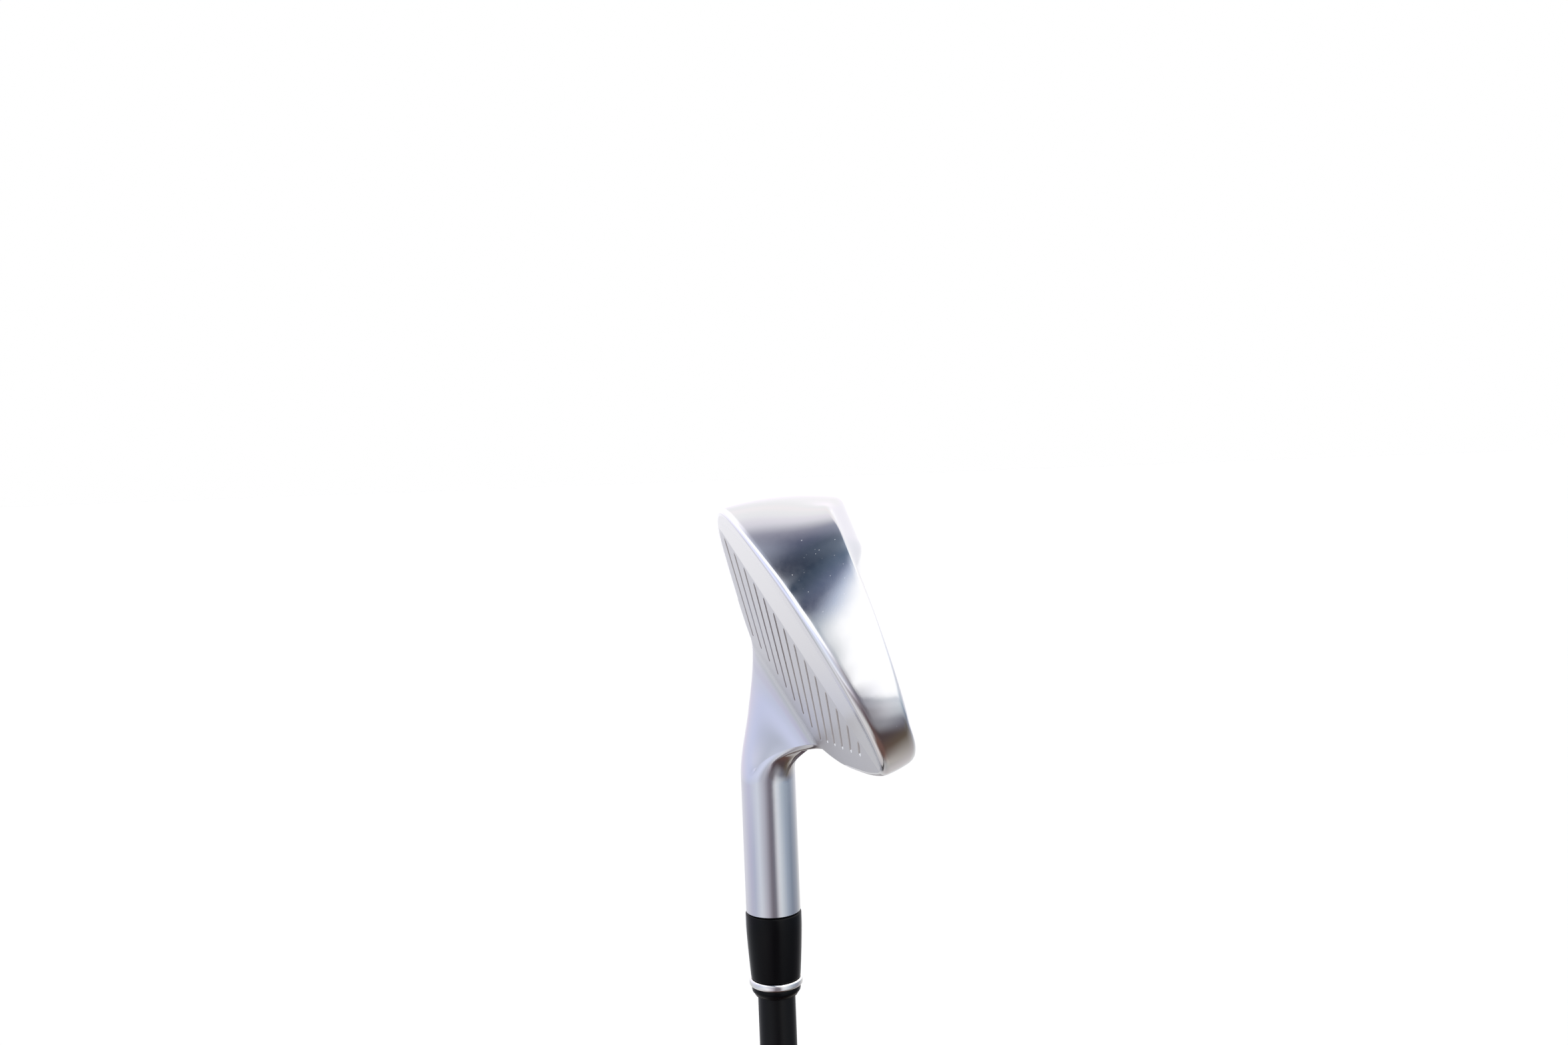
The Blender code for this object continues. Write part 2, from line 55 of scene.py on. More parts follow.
# How the head sits on the shaft
CLUB_LENGTH = 940 * MM
LOFT = math.radians(31.25)
LIE = math.radians(62.45)
FACE_FORWARD = 3.9 * MM
FACE_HEIGHT = 3.0 * MM

# Hosel, with distances up the shaft's axis from the ground
HOSEL_RADIUS = 6.54 * MM
HOSEL_TOP = 70.6 * MM
HOSEL_CHAMFER = 0.35 * MM
BORE_RADIUS = 4.82 * MM
BORE_BOTTOM = 35.0 * MM
NECK_END = 31.5 * MM
NECK_END_TILT = 6.9 * MM
NECK_END_FRONT = 4.5 * MM
NECK_NUDGE = 0.5 * MM
NECK_FACE_ANGLES = (55, -40)
NECK_BACK_ANGLES = (225, 130)

# Outline of the blade: flat face x, s; the front edge's rounding; back corner x, s; its rounding;
# the wall's bulge. It runs from the heel along the leading edge, round the toe and back.
OUTLINE = MM * np.array(
    [
        (1.0, 3.3, 2.2, 1.0, 8.0, 1.6, 2.2),
        (10.0, 2.55, 2.2, 10.0, 9.3, 1.6, 2.4),
        (24.0, 2.2, 2.2, 25.0, 10.6, 1.6, 2.5),
        (42.0, 2.2, 2.2, 43.0, 10.8, 1.6, 2.5),
        (58.0, 2.65, 2.1, 58.5, 11.2, 1.6, 2.5),
        (70.0, 4.3, 1.8, 71.0, 13.2, 1.6, 1.9),
        (79.0, 7.9, 1.3, 80.35, 17.6, 1.4, 1.1),
        (84.6, 14.5, 1.0, 86.2, 20.2, 1.0, 0.3),
        (88.0, 23.5, 1.0, 89.6, 25.4, 0.5, 0.3),
        (89.8, 33.0, 1.2, 91.0, 33.2, 0.5, 0.2),
        (88.6, 42.5, 1.4, 90.0, 43.0, 0.5, 0.2),
        (85.2, 51.5, 1.5, 86.7, 52.2, 0.6, 0.2),
        (79.2, 58.2, 1.4, 80.6, 59.8, 1.2, 0.3),
        (69.5, 60.5, 1.2, 69.8, 62.1, 1.8, 0.3),
        (55.0, 56.9, 1.1, 54.8, 58.3, 1.6, 0.3),
        (38.0, 50.8, 1.1, 37.8, 52.0, 1.6, 0.3),
        (22.0, 44.5, 1.1, 21.8, 45.7, 1.6, 0.3),
        (10.0, 38.7, 1.3, 9.7, 40.0, 1.6, 0.4),
        (1.0, 33.5, 1.6, 0.7, 35.0, 1.6, 0.5),
    ]
)
OUTLINE_STEP = 0.9 * MM
OUTLINE_SMOOTHING = 3
FRONT_EDGE_STEPS = 8
WALL_STEPS = 14
BACK_EDGE_STEPS = 5
FACE_STEPS = 22
BACK_STEPS = 22
NECK_STEPS = 26

# Back of the blade
RIM_THICKNESS = 7.1 * MM
RIM_TAPER = 0.218
RIM_TOP_AT_HEEL = 44.8 * MM
RIM_TOP_RISE = 0.18
MUSCLE_DEPTH = 4.9 * MM
MUSCLE_HEEL = (2.0 * MM, 22.0 * MM)
MUSCLE_TOE = (74.0 * MM, 88.0 * MM)
MUSCLE_BOTTOM = (0.0, 12.0 * MM)
MUSCLE_TOP = (25.0 * MM, 31.5 * MM)
CAVITY = MM * np.array(
    [
        (11.5, 30.4),
        (28.0, 29.6),
        (48.0, 29.4),
        (66.0, 29.8),
        (79.0, 32.2),
        (85.0, 38.0),
        (84.2, 45.0),
        (80.0, 52.4),
        (71.0, 56.6),
        (56.0, 53.4),
        (38.0, 47.2),
        (22.0, 40.9),
        (12.0, 35.8),
    ]
)
CAVITY_CENTRE = np.array((48.0, 41.0)) * MM
CAVITY_EDGE = 0.8 * MM
CAVITY_EDGE_STEPS = 4
CAVITY_DRAFT = 2.0 * MM
CAVITY_WALL_STEPS = 24
FACE_THICKNESS = 2.7 * MM
RIM_STEPS = 26
POCKET = (
    (2.5 * MM, 1.0 * MM, 0.06),
    (9.5 * MM, 4.5 * MM, 0.10),
    (19.0 * MM, 4.0 * MM, 0.14),
    (24.2 * MM, 0.0, 0.75),
    (23.4 * MM, 0.0, 1.0),
)
POCKET_HEEL = (9.0 * MM, 20.0 * MM)
POCKET_TOE = (66.0 * MM, 80.0 * MM)
POCKET_TOP = (31.0 * MM, 38.0 * MM)

# Grooves
GROOVE_COUNT = 14
GROOVE_PITCH = 3.683 * MM
GROOVE_FIRST = 5.38 * MM
GROOVE_WIDTH = 0.86 * MM
GROOVE_FLOOR = 0.35 * MM
GROOVE_DEPTH = 0.45 * MM
GROOVE_TOE = 64.6 * MM
GROOVE_NOSE = 2.2 * MM
GROOVE_NOSE_STEPS = 7
GROOVE_HEEL = 9.0 * MM
GROOVE_TOP_HEEL = (35.3 * MM, 11.3 * MM)
GROOVE_TOP_SLOPE = 2.43

# Ferrule, shaft and grip
FERRULE_TOP_RADIUS = 6.74 * MM
FERRULE_BOTTOM_RADIUS = 6.0 * MM
FERRULE_LENGTH = 15.9 * MM
FERRULE_STRAIGHT = 3 * MM
FERRULE_CURVE = 1.3
FERRULE_EDGE = 0.3 * MM
RING_RADIUS = 6.42 * MM
RING_LENGTH = 1.7 * MM
RING_EDGE = 0.42 * MM
COLLAR_RADIUS = 5.9 * MM
COLLAR_BOTTOM_RADIUS = 5.2 * MM
COLLAR_LENGTH = 2.4 * MM
COLLAR_EDGE = 0.35 * MM
COLLAR_LINE = 0.08 * MM
TIP_RADIUS = 4.52 * MM
TIP_EDGE = 0.3 * MM
TIP_BORE = 2.9 * MM
BUTT_RADIUS = 7.62 * MM
BUTT_BORE = 6.35 * MM
SHAFT_TIP = 37.0 * MM
SHAFT_TIP_TAPER = 190.0 * MM
SHAFT_BUTT_TAPER = 250.0 * MM
SHAFT_BUTT = 4.2 * MM
GRIP_LENGTH = 267.0 * MM
GRIP_BUTT_RADIUS = 13.4 * MM
GRIP_MIDDLE_RADIUS = 11.4 * MM
GRIP_MOUTH_RADIUS = 9.5 * MM
GRIP_LIP = 10.1 * MM
GRIP_LIP_EDGE = 0.6 * MM
CAP_THICKNESS = 3.6 * MM
CAP_EDGE = 2.2 * MM
CAP_VENT = 1.6 * MM
CAP_VENT_EDGE = 0.5 * MM
CAP_GROOVE = (8.4 * MM, 9.2 * MM)
CAP_GROOVE_DEPTH = 0.35 * MM
TAPE_THICKNESS = 0.18 * MM
CLEARANCE = 0.05 * MM

# Pattern of the grip: crossing helical cuts with plain bands and rings at both ends
CUTS_AROUND = 16
CUT_PERIOD = 7.2 * MM
CUT_DEPTH = 0.5 * MM
CUT_WIDTH = 0.13
CUTS_FROM = 66 * MM
CUTS_TO = 236 * MM
RING_CUTS = tuple(z * MM for z in (40, 43, 46, 55, 244, 247, 250))
RING_CUT_WIDTH = 1.0 * MM
GRIP_STEP = 0.55 * MM

# Finish of the head
CHROME = (0.71, 0.71, 0.725, 1)
SATIN = (0.89, 0.88, 0.87, 1)
BLASTED = (0.77, 0.77, 0.78, 1)
BUFFED = (0.62, 0.61, 0.63, 1)
# A painted highlight: near-white steel on the toe's rounded front edge, standing in for its bright
# line
PAINTED_HIGHLIGHT = (0.97, 0.97, 0.98, 1)
GROOVED = (0.76, 0.75, 0.76, 1)
# Pale colour of the dust specks on the toe, also used for the painted glints at the upper grooves'
# heel ends
DUST_AND_GLINT = (0.9, 0.92, 0.95, 1)
POLISHED_ROUGHNESS = 0.12
SATIN_ROUGHNESS = 0.3
BLASTED_ROUGHNESS = 0.42
GROOVED_ROUGHNESS = 0.5
BUFFED_ROUGHNESS = 0.18
SATIN_CENTRE = (60.0, 33.0)
SATIN_REACH = (24.8, 27.8)
SATIN_SHAPE = 2.6

# Where they begin and end, as what a smooth step runs from and to, in millimetres: x to the toe,
# s up the face and depth behind it
FACE_FRONT = (-0.9, -0.1)
FACE_BACK = (0.014, 0.002)
FACE_HEEL = (-5.0, 0.5)
FACE_SINK = 1.6
FACE_SINK_HEEL = (26.0, 8.0)
BLASTED_TOE = (66.7, 66.1)
BUFFED_HEEL = (60.0, 68.0)
# The band of the painted highlight, on the front edge's rounding near the toe
PAINTED_HIGHLIGHT_FRONT = (0.06, 0.25)
PAINTED_HIGHLIGHT_BACK = (1.5, 1.0)
PAINTED_HIGHLIGHT_HEEL = (70.0, 80.0)
GROOVED_FRONT = (0.05, 0.12)
GROOVED_BACK = (0.6, 0.5)
GROOVED_HEEL = (8.0, 8.6)
GROOVED_TOE = (65.5, 65.0)
SPECKS_HEEL = (79.0, 83.0)
SPECKS_FRONT = (1.0, 1.6)
# Where the painted glints sit: matt white spots at the heel ends of the upper grooves, standing in
# for highlights
GLINT_HEEL = (-1.3, -1.0)
GLINT_TOE = (1.5, 1.0)
GLINT_FRONT = (0.01, 0.03)
GLINT_BOTTOM = (37.0, 38.0)
GLINT_TOP = (55.5, 55.0)

# Studio: soft zones round the head, set in plain tones. A row is an elevation in degrees
# and its tones by azimuth, which counts from the camera's side of the head towards the club's back.
STUDIO_STRENGTH = 1.45
WHITE = (255, 255, 255)
STUDIO = (
    (-80, ((0, (90, 70, 65)),)),
    # The dark table under the camera, and paler floor elsewhere
    (-55, ((-180, (150, 150, 150)), (-140, (180, 175, 175)), (-50, (170, 170, 170)),
           (-10, (80, 65, 65)), (50, (75, 65, 65)), (90, (90, 80, 70)), (150, (165, 160, 155)),
           (180, (150, 150, 150)))),
    (-35, ((-180, (170, 165, 165)), (-90, (185, 185, 190)), (-50, (140, 135, 140)),
           (0, (80, 70, 75)), (36, (140, 140, 145)), (60, (110, 110, 120)), (90, (95, 90, 85)),
           (165, (180, 175, 175)), (180, (170, 165, 165)))),
    (-22, ((-180, (185, 185, 185)), (-90, (170, 175, 185)), (-35, (205, 205, 210)),
           (-16, (175, 170, 180)), (2, (105, 100, 105)), (20, (105, 100, 105)),
           (33, (185, 185, 190)), (45, (185, 190, 195)), (84, (130, 135, 145)),
           (110, (120, 120, 130)), (165, (190, 190, 190)), (180, (185, 185, 185)))),
    # The camera's dark strip, and pale blue to its left
    (-17, ((-180, (195, 195, 200)), (-127, (200, 200, 210)), (-90, (175, 175, 195)),
           (-72, (165, 170, 190)), (-45, (195, 200, 210)), (-16, (160, 160, 170)),
           (6, (110, 105, 115)), (17, (110, 110, 120)), (33, (200, 200, 205)),
           (42, (200, 205, 210)), (72, (150, 160, 175)), (97, (120, 130, 145)),
           (125, (145, 150, 160)), (165, (200, 200, 200)), (180, (195, 195, 200)))),
    (-13, ((-180, (210, 210, 210)), (-90, (185, 185, 205)), (-45, (200, 205, 215)),
           (-16, (170, 170, 180)), (6, (110, 105, 115)), (17, (105, 100, 110)),
           (33, (190, 195, 200)), (41, (190, 195, 205)), (60, (160, 170, 180)),
           (103, (125, 135, 150)), (165, (205, 205, 210)), (180, (210, 210, 210)))),
    (-11, ((-180, (235, 235, 235)), (-127, (205, 205, 215)), (-90, (185, 190, 210)),
           (-45, (195, 200, 215)), (-16, (150, 150, 160)), (14, (115, 115, 120)),
           (26, (235, 235, 240)), (30, WHITE), (40, WHITE), (52, (190, 200, 210)),
           (80, (165, 175, 185)), (150, (220, 220, 225)), (180, (235, 235, 235)))),
    (0, ((-180, (245, 245, 245)), (-127, (210, 205, 220)), (-90, (190, 195, 220)),
         (-45, (200, 205, 225)), (-16, (170, 170, 180)), (5, (140, 135, 140)),
         (11, (160, 160, 165)), (17, WHITE), (45, WHITE), (75, (190, 195, 205)),
         (150, (225, 225, 230)), (180, (245, 245, 245)))),
    (14, ((-180, (235, 230, 235)), (-130, (210, 210, 225)), (-92, (190, 195, 220)),
          (-68, (170, 175, 190)), (-48, (205, 210, 230)), (-32, (235, 240, 245)),
          (-12, (240, 240, 245)), (0, (190, 190, 200)), (7, (170, 175, 180)), (13, WHITE),
          (45, WHITE), (75, (215, 220, 230)), (180, (235, 230, 235)))),
    (28, ((-180, (225, 225, 225)), (-90, (215, 215, 230)), (-68, (175, 180, 195)),
          (-40, (250, 250, 255)), (-16, WHITE), (0, (150, 160, 170)), (9, WHITE), (60, WHITE),
          (180, (225, 225, 225)))),
    # The dark ceiling over the camera
    (41, ((-180, (230, 225, 225)), (-110, (240, 240, 245)), (-30, WHITE), (-20, (180, 185, 195)),
          (-12, (80, 85, 100)), (-3, (70, 75, 95)), (6, (185, 195, 215)), (13, WHITE),
          (180, (230, 225, 225)))),
    (53, ((-180, (225, 225, 225)), (-55, (235, 235, 240)), (-36, (170, 175, 185)),
          (-27, (60, 70, 85)), (-16, (60, 70, 85)), (1, (100, 110, 135)), (7, (180, 190, 210)),
          (15, WHITE), (180, (225, 225, 225)))),
    (63, ((-180, (230, 225, 230)), (-110, (195, 195, 205)), (-74, (150, 155, 170)),
          (-58, (70, 75, 90)), (-46, (50, 55, 70)), (-25, (50, 60, 75)), (0, (95, 110, 130)),
          (9, (185, 195, 210)), (18, (245, 250, 250)), (180, (230, 225, 230)))),
    (72, ((-180, (225, 220, 225)), (-148, (205, 205, 210)), (-106, (130, 130, 145)),
          (-68, (80, 85, 105)), (-45, (70, 80, 95)), (-20, (100, 110, 125)),
          (5, (165, 175, 190)), (30, (220, 225, 235)), (180, (225, 220, 225)))),
    (85, ((0, (140, 145, 160)),)),
)


def smooth_step(value, low, high):
    t = np.clip((np.asarray(value, float) - low) / (high - low), 0, 1)
    return t * t * (3 - 2 * t)


def catmull_rom(points, places):
    """Points on the smooth curve through the given points, at places counted in points."""
    points = np.asarray(points, float)
    ends = np.vstack([2 * points[0] - points[1], points, 2 * points[-1] - points[-2]])
    index = np.minimum(np.floor(places).astype(int), len(points) - 2)
    t = (places - index)[:, None]
    a, b, c, d = (ends[index + k] for k in range(4))
    return 0.5 * (
        2 * b + (c - a) * t + (2 * a - 5 * b + 4 * c - d) * t**2 + (3 * b - a - 3 * c + d) * t**3
    )


def closed_catmull_rom(points, places):
    looped = np.vstack([points[-1], points, points[0], points[1]])
    return catmull_rom(looped, np.asarray(places) % len(points) + 1)


def ground_to_club(x, y, z):
    """From the head as it sits on the ground, x to the toe and y to the target, to the club."""
    sin_lie, cos_lie = math.sin(LIE), math.cos(LIE)
    across = -(sin_lie * x + cos_lie * z)
    along = CLUB_LENGTH + cos_lie * x - sin_lie * z
    return np.stack([-y, across, along], axis=-1)


def face_to_club(points):
    """From (x, s, depth behind the face) to the club's frame."""
    x, s, depth = np.moveaxis(np.asarray(points, float), -1, 0)
    y = FACE_FORWARD - s * math.sin(LOFT) - depth * math.cos(LOFT)
    z = FACE_HEIGHT + s * math.cos(LOFT) - depth * math.sin(LOFT)
    return ground_to_club(x, y, z)


def back_depth(x, s):
    """How far behind the face the back of the blade is, outside the cavity."""
    rim_top = RIM_TOP_AT_HEEL + RIM_TOP_RISE * x
    rim = RIM_THICKNESS + RIM_TAPER * np.maximum(rim_top - s, 0)
    muscle = smooth_step(x, *MUSCLE_HEEL) * (1 - smooth_step(x, *MUSCLE_TOE))
    muscle = muscle * smooth_step(s, *MUSCLE_BOTTOM) * (1 - smooth_step(s, *MUSCLE_TOP))
    return rim + MUSCLE_DEPTH * muscle


def rounded(start, corner, end, steps):
    """Points of the round edge that replaces a corner, both ends included."""
    t = np.linspace(0, 1, steps + 1)[:, None, None]
    return (1 - t) ** 2 * start + 2 * t * (1 - t) * corner + t**2 * end


def unit(vectors):
    return vectors / np.linalg.norm(vectors, axis=-1, keepdims=True)


def outline_places():
    """Where the blade's cross-sections are, in rows of OUTLINE: about evenly spaced."""
    spans = np.linalg.norm(np.diff(OUTLINE[:, :2], axis=0), axis=1)
    counts = np.maximum(np.round(spans / OUTLINE_STEP), 2).astype(int)
    places = [row + k / count for row, count in enumerate(counts) for k in range(count)]
    return np.array(places + [len(OUTLINE) - 1.0])


def smoothed(values, passes):
    """Evens out the curvature along the rows, with both ends kept."""
    for _ in range(passes):
        values[1:-1] = (values[:-2] + 2 * values[1:-1] + values[2:]) / 4
    return values


def ribbon():
    """The wall round the blade: rows from the face to the back, columns from heel to heel."""
    values = smoothed(catmull_rom(OUTLINE, outline_places()), OUTLINE_SMOOTHING)
    along = unit(np.gradient(values[:, :2], axis=0))
    outward = np.stack([along[:, 1], -along[:, 0], 0 * along[:, 0]], axis=-1)

    face = np.column_stack([values[:, :2], np.zeros(len(values))])
    front_corner = face + values[:, 2:3] * outward
    back_corner = np.column_stack([values[:, 3:5], back_depth(values[:, 3], values[:, 4])])
    straight = back_corner - front_corner
    bulge = values[:, 6:7] * outward

    def wall(v):
        return front_corner + v * straight + 4 * v * (1 - v) * bulge

    length = np.linalg.norm(straight, axis=1)[:, None]
    front_share = values[:, 2:3] / length
    back_share = 1 - values[:, 5:6] / length
    inward = back_corner - values[:, 5:6] * outward
    inward[:, 2] = back_depth(inward[:, 0], inward[:, 1])

    front_rows = rounded(face, front_corner, wall(front_share), FRONT_EDGE_STEPS)
    shares = np.linspace(0, 1, WALL_STEPS + 1)[1:-1, None, None]
    wall_rows = wall(front_share + shares * (back_share - front_share))
    back_rows = rounded(wall(back_share), back_corner, inward, BACK_EDGE_STEPS)
    return np.concatenate([front_rows, wall_rows, back_rows])


class Shell:
    """Points and faces of one closed skin, gathered ring by ring."""

    def __init__(self):
        self.points = []
        self.faces = []

    def add(self, points):
        first = len(self.points)
        self.points.extend(tuple(float(v) for v in p) for p in points)
        return list(range(first, len(self.points)))

    def bridge(self, ring, next_ring, closed=True):
        count = len(ring)
        for i in range(count if closed else count - 1):
            j = (i + 1) % count
            self.faces.append((ring[i], ring[j], next_ring[j], next_ring[i]))

    def fill(self, ring):
        self.faces.append(tuple(ring))

    def mesh(self, name):
        mesh = bpy.data.meshes.new(name)
        mesh.from_pydata(self.points, [], self.faces)
        work = bmesh.new()
        work.from_mesh(mesh)
        bmesh.ops.recalc_face_normals(work, faces=work.faces)
        work.to_mesh(mesh)
        work.free()
        return mesh


def hosel_point(angle, up, radius):
    """A point round the shaft's axis, the angle counted from the face towards the toe."""
    side = radius * np.sin(angle)
    x = -up * math.cos(LIE) + side * math.sin(LIE)
    z = up * math.sin(LIE) + side * math.cos(LIE)
    return ground_to_club(x, radius * np.cos(angle), z)


def hermite(start, start_tangent, end, end_tangent, t):
    return (
        (2 * t**3 - 3 * t**2 + 1) * start
        + (t**3 - 2 * t**2 + t) * start_tangent
        + (3 * t**2 - 2 * t**3) * end
        + (t**3 - t**2) * end_tangent
    )


def cavity_ring(angles, inset):
    """The cavity's outline, moved in by inset, at the given angles round its centre."""
    places = np.linspace(0, len(CAVITY), 1200, endpoint=False)
    curve = closed_catmull_rom(CAVITY, places) - CAVITY_CENTRE
    radius = np.linalg.norm(curve, axis=1)
    curve = curve * (1 - inset / radius)[:, None]
    turn = np.mod(np.arctan2(curve[:, 1], curve[:, 0]), 2 * np.pi)
    order = np.argsort(turn)
    turn, curve = turn[order], curve[order]
    wanted = np.mod(angles, 2 * np.pi)
    columns = [np.interp(wanted, turn, curve[:, k], period=2 * np.pi) for k in range(2)]
    return np.column_stack(columns) + CAVITY_CENTRE


def neck_angles(counts):
    """Angles round the hosel for the points of the blade's heel section, side by side."""
    face, back = NECK_FACE_ANGLES, NECK_BACK_ANGLES
    sides = [(face[0], face[1]), (face[1], back[0] - 360), (back[0] - 360, back[1] - 360)]
    sides.append((back[1] - 360, face[0] - 360))
    parts = [np.linspace(a, b, n, endpoint=False) for (a, b), n in zip(sides, counts)]
    return np.radians(np.concatenate(parts))


def groove_heel(s):
    start_s, start_x = GROOVE_TOP_HEEL
    return max(GROOVE_HEEL, start_x + (s - start_s) * GROOVE_TOP_SLOPE)


def groove_loops(middle):
    """A groove's outline in the face and its floor's, as (x, s, depth). Both ends are points."""
    heel = groove_heel(middle)
    turn = np.linspace(0, math.pi / 2, GROOVE_NOSE_STEPS)
    run = GROOVE_NOSE * (1 - np.cos(turn))
    wide = np.sin(turn)
    loops = []
    for width, depth in ((GROOVE_WIDTH, 0), (GROOVE_FLOOR, GROOVE_DEPTH)):
        half = np.maximum(wide * width / 2, 0.00002)
        toe = np.column_stack([GROOVE_TOE - run, half, depth * wide])
        back = np.column_stack([heel + run, half, depth * wide])
        upper = np.vstack([back, toe[::-1]])
        lower = upper[::-1] * (1, -1, 1)
        loops.append(np.vstack([upper, lower]) + (0, middle, 0))
    return loops


def fill_face(shell, boundary, boundary_ids):
    """The flat face between its boundary and the grooves, with the grooves sunk into it."""
    flat = [Vector(p[:2]) for p in boundary]
    ids = list(boundary_ids)
    loops = [list(range(len(flat)))]
    for index in range(GROOVE_COUNT):
        edge, floor = groove_loops(GROOVE_FIRST + index * GROOVE_PITCH)
        edge_ids = shell.add(face_to_club(edge))
        floor_ids = shell.add(face_to_club(floor))
        shell.bridge(edge_ids, floor_ids)
        half = len(floor_ids) // 2
        shell.bridge(floor_ids[:half], floor_ids[:half - 1:-1], closed=False)
        loops.append(list(range(len(flat), len(flat) + len(edge))))
        flat.extend(Vector(p[:2]) for p in edge)
        ids.extend(edge_ids)
    edges = [(loop[i - 1], loop[i]) for loop in loops for i in range(len(loop))]
    made = delaunay_2d_cdt([p * 1000 for p in flat], edges, [], 1, 1e-6)
    places, triangles, sources = made[0], made[2], made[3]
    for triangle in triangles:
        centre = sum((places[i] for i in triangle), Vector((0, 0))) * (MM / len(triangle))
        if on_face(centre, flat, loops):
            shell.fill([ids[sources[i][0]] for i in triangle])


def is_inside(point, loop):
    """True if the point is inside the closed loop."""
    inside = False
    for a, b in zip(loop, loop[1:] + loop[:1]):
        if (a.y > point.y) != (b.y > point.y):
            if point.x < a.x + (b.x - a.x) * (point.y - a.y) / (b.y - a.y):
                inside = not inside
    return inside


def on_face(point, flat, loops):
    """True on the face itself: inside its boundary and in none of the grooves."""
    if not is_inside(point, [flat[i] for i in loops[0]]):
        return False
    return not any(is_inside(point, [flat[i] for i in loop]) for loop in loops[1:])


def heel_line(start, end, steps, on_back):
    points = np.linspace(start, end, steps + 1)[1:-1]
    if on_back:
        points[:, 2] = back_depth(points[:, 0], points[:, 1])
    return points


def add_back(shell, rows, back_line, ring_ids):
    """The rim, the muscle, the cavity and its pocket, from the wall's last row inwards."""
    outer = np.vstack([rows[-1], back_line[::-1]])
    from_centre = outer[:, :2] - CAVITY_CENTRE
    angles = np.arctan2(from_centre[:, 1], from_centre[:, 0])
    edge = cavity_ring(angles, 0)
    for k in range(1, RIM_STEPS + 1):
        flat = outer[:, :2] + (edge - outer[:, :2]) * k / RIM_STEPS
        ring = np.column_stack([flat, back_depth(flat[:, 0], flat[:, 1])])
        next_ids = shell.add(face_to_club(ring))
        shell.bridge(ring_ids, next_ids)
        ring_ids = next_ids
    top_depth = back_depth(edge[:, 0], edge[:, 1])
    lip_depth = top_depth - CAVITY_EDGE
    for k in range(1, CAVITY_EDGE_STEPS):
        turn = k / CAVITY_EDGE_STEPS * math.pi / 2
        flat = cavity_ring(angles, CAVITY_EDGE * math.sin(turn))
        depth = lip_depth + CAVITY_EDGE * math.cos(turn)
        next_ids = shell.add(face_to_club(np.column_stack([flat, depth])))
        shell.bridge(ring_ids, next_ids)
        ring_ids = next_ids
    in_pocket = smooth_step(edge[:, 0], *POCKET_HEEL) * (1 - smooth_step(edge[:, 0], *POCKET_TOE))
    in_pocket = in_pocket * (1 - smooth_step(edge[:, 1], *POCKET_TOP))
    places = np.linspace(0, len(POCKET), CAVITY_WALL_STEPS + 1)
    path = catmull_rom(np.array([(0, 0, 0), *POCKET]), places)
    path[:, 2] = np.maximum.accumulate(np.clip(path[:, 2], 0, 1))
    for drop, back, share in path:
        flat = cavity_ring(angles, CAVITY_EDGE + share * (CAVITY_DRAFT - CAVITY_EDGE))
        flat[:, 1] -= drop * in_pocket
        depth = lip_depth + share * (FACE_THICKNESS - lip_depth) + back * in_pocket
        next_ids = shell.add(face_to_club(np.column_stack([flat, depth])))
        shell.bridge(ring_ids, next_ids)
        ring_ids = next_ids
    shell.fill(ring_ids)


def add_neck(shell, rows, grid, face_line, back_line, face_ids, back_ids):
    """The neck, lofted from the blade's heel section to the hosel, then the hosel and its bore."""
    row_count = len(rows)
    section = np.vstack([rows[0, -1:], face_line, rows[:, 0], back_line, rows[:0:-1, -1]])
    section_ids = [grid[0][-1]] + face_ids + [row[0] for row in grid] + back_ids
    section_ids += [row[-1] for row in grid[:0:-1]]
    nudged = section.copy()
    nudged[:, 0] -= NECK_NUDGE
    sole = slice(1 + len(face_line), 1 + len(face_line) + row_count)
    on_back = slice(sole.stop, sole.stop + len(back_line))
    nudged[sole] = 2 * rows[:, 0] - rows[:, 1]
    nudged[on_back, 2] = back_depth(nudged[on_back, 0], nudged[on_back, 1])
    nudged[0] = 2 * rows[0, -1] - rows[0, -2]
    nudged[on_back.stop :] = 2 * rows[:0:-1, -1] - rows[:0:-1, -2]

    start = face_to_club(section)
    leave = unit(face_to_club(nudged) - start)
    counts = (1 + len(face_line), row_count - 1, 1 + len(back_line), row_count - 1)
    turn = neck_angles(counts)
    up = NECK_END + NECK_END_TILT * np.sin(turn) + NECK_END_FRONT * np.cos(turn) ** 2
    end = hosel_point(turn, up, HOSEL_RADIUS)
    reach = np.linalg.norm(end - start, axis=1)[:, None]
    arrive = np.array([0, 0, -1.0]) * reach
    ring_ids = section_ids
    for k in range(1, NECK_STEPS + 1):
        ring = hermite(start, leave * reach, end, arrive, k / NECK_STEPS)
        next_ids = shell.add(ring)
        shell.bridge(ring_ids, next_ids)
        ring_ids = next_ids

    turning = [
        (HOSEL_TOP - HOSEL_CHAMFER, HOSEL_RADIUS),
        (HOSEL_TOP, HOSEL_RADIUS - HOSEL_CHAMFER),
        (HOSEL_TOP, BORE_RADIUS),
        (BORE_BOTTOM, BORE_RADIUS),
    ]
    for height, radius in turning:
        next_ids = shell.add(hosel_point(turn, height, radius))
        shell.bridge(ring_ids, next_ids)
        ring_ids = next_ids
    shell.fill(ring_ids)


def head_mesh():
    shell = Shell()
    rows = ribbon()
    grid = [shell.add(face_to_club(row)) for row in rows]
    for upper, lower in zip(grid, grid[1:]):
        shell.bridge(upper, lower, closed=False)
    face_line = heel_line(rows[0, -1], rows[0, 0], FACE_STEPS, on_back=False)
    back_line = heel_line(rows[-1, 0], rows[-1, -1], BACK_STEPS, on_back=True)
    face_ids = shell.add(face_to_club(face_line))
    back_ids = shell.add(face_to_club(back_line))
    fill_face(shell, np.vstack([rows[0], face_line]), grid[0] + face_ids)
    add_back(shell, rows, back_line, grid[-1] + back_ids[::-1])
    add_neck(shell, rows, grid, face_line, back_line, face_ids, back_ids)
    return shell.mesh("club_head")


# Turned pieces


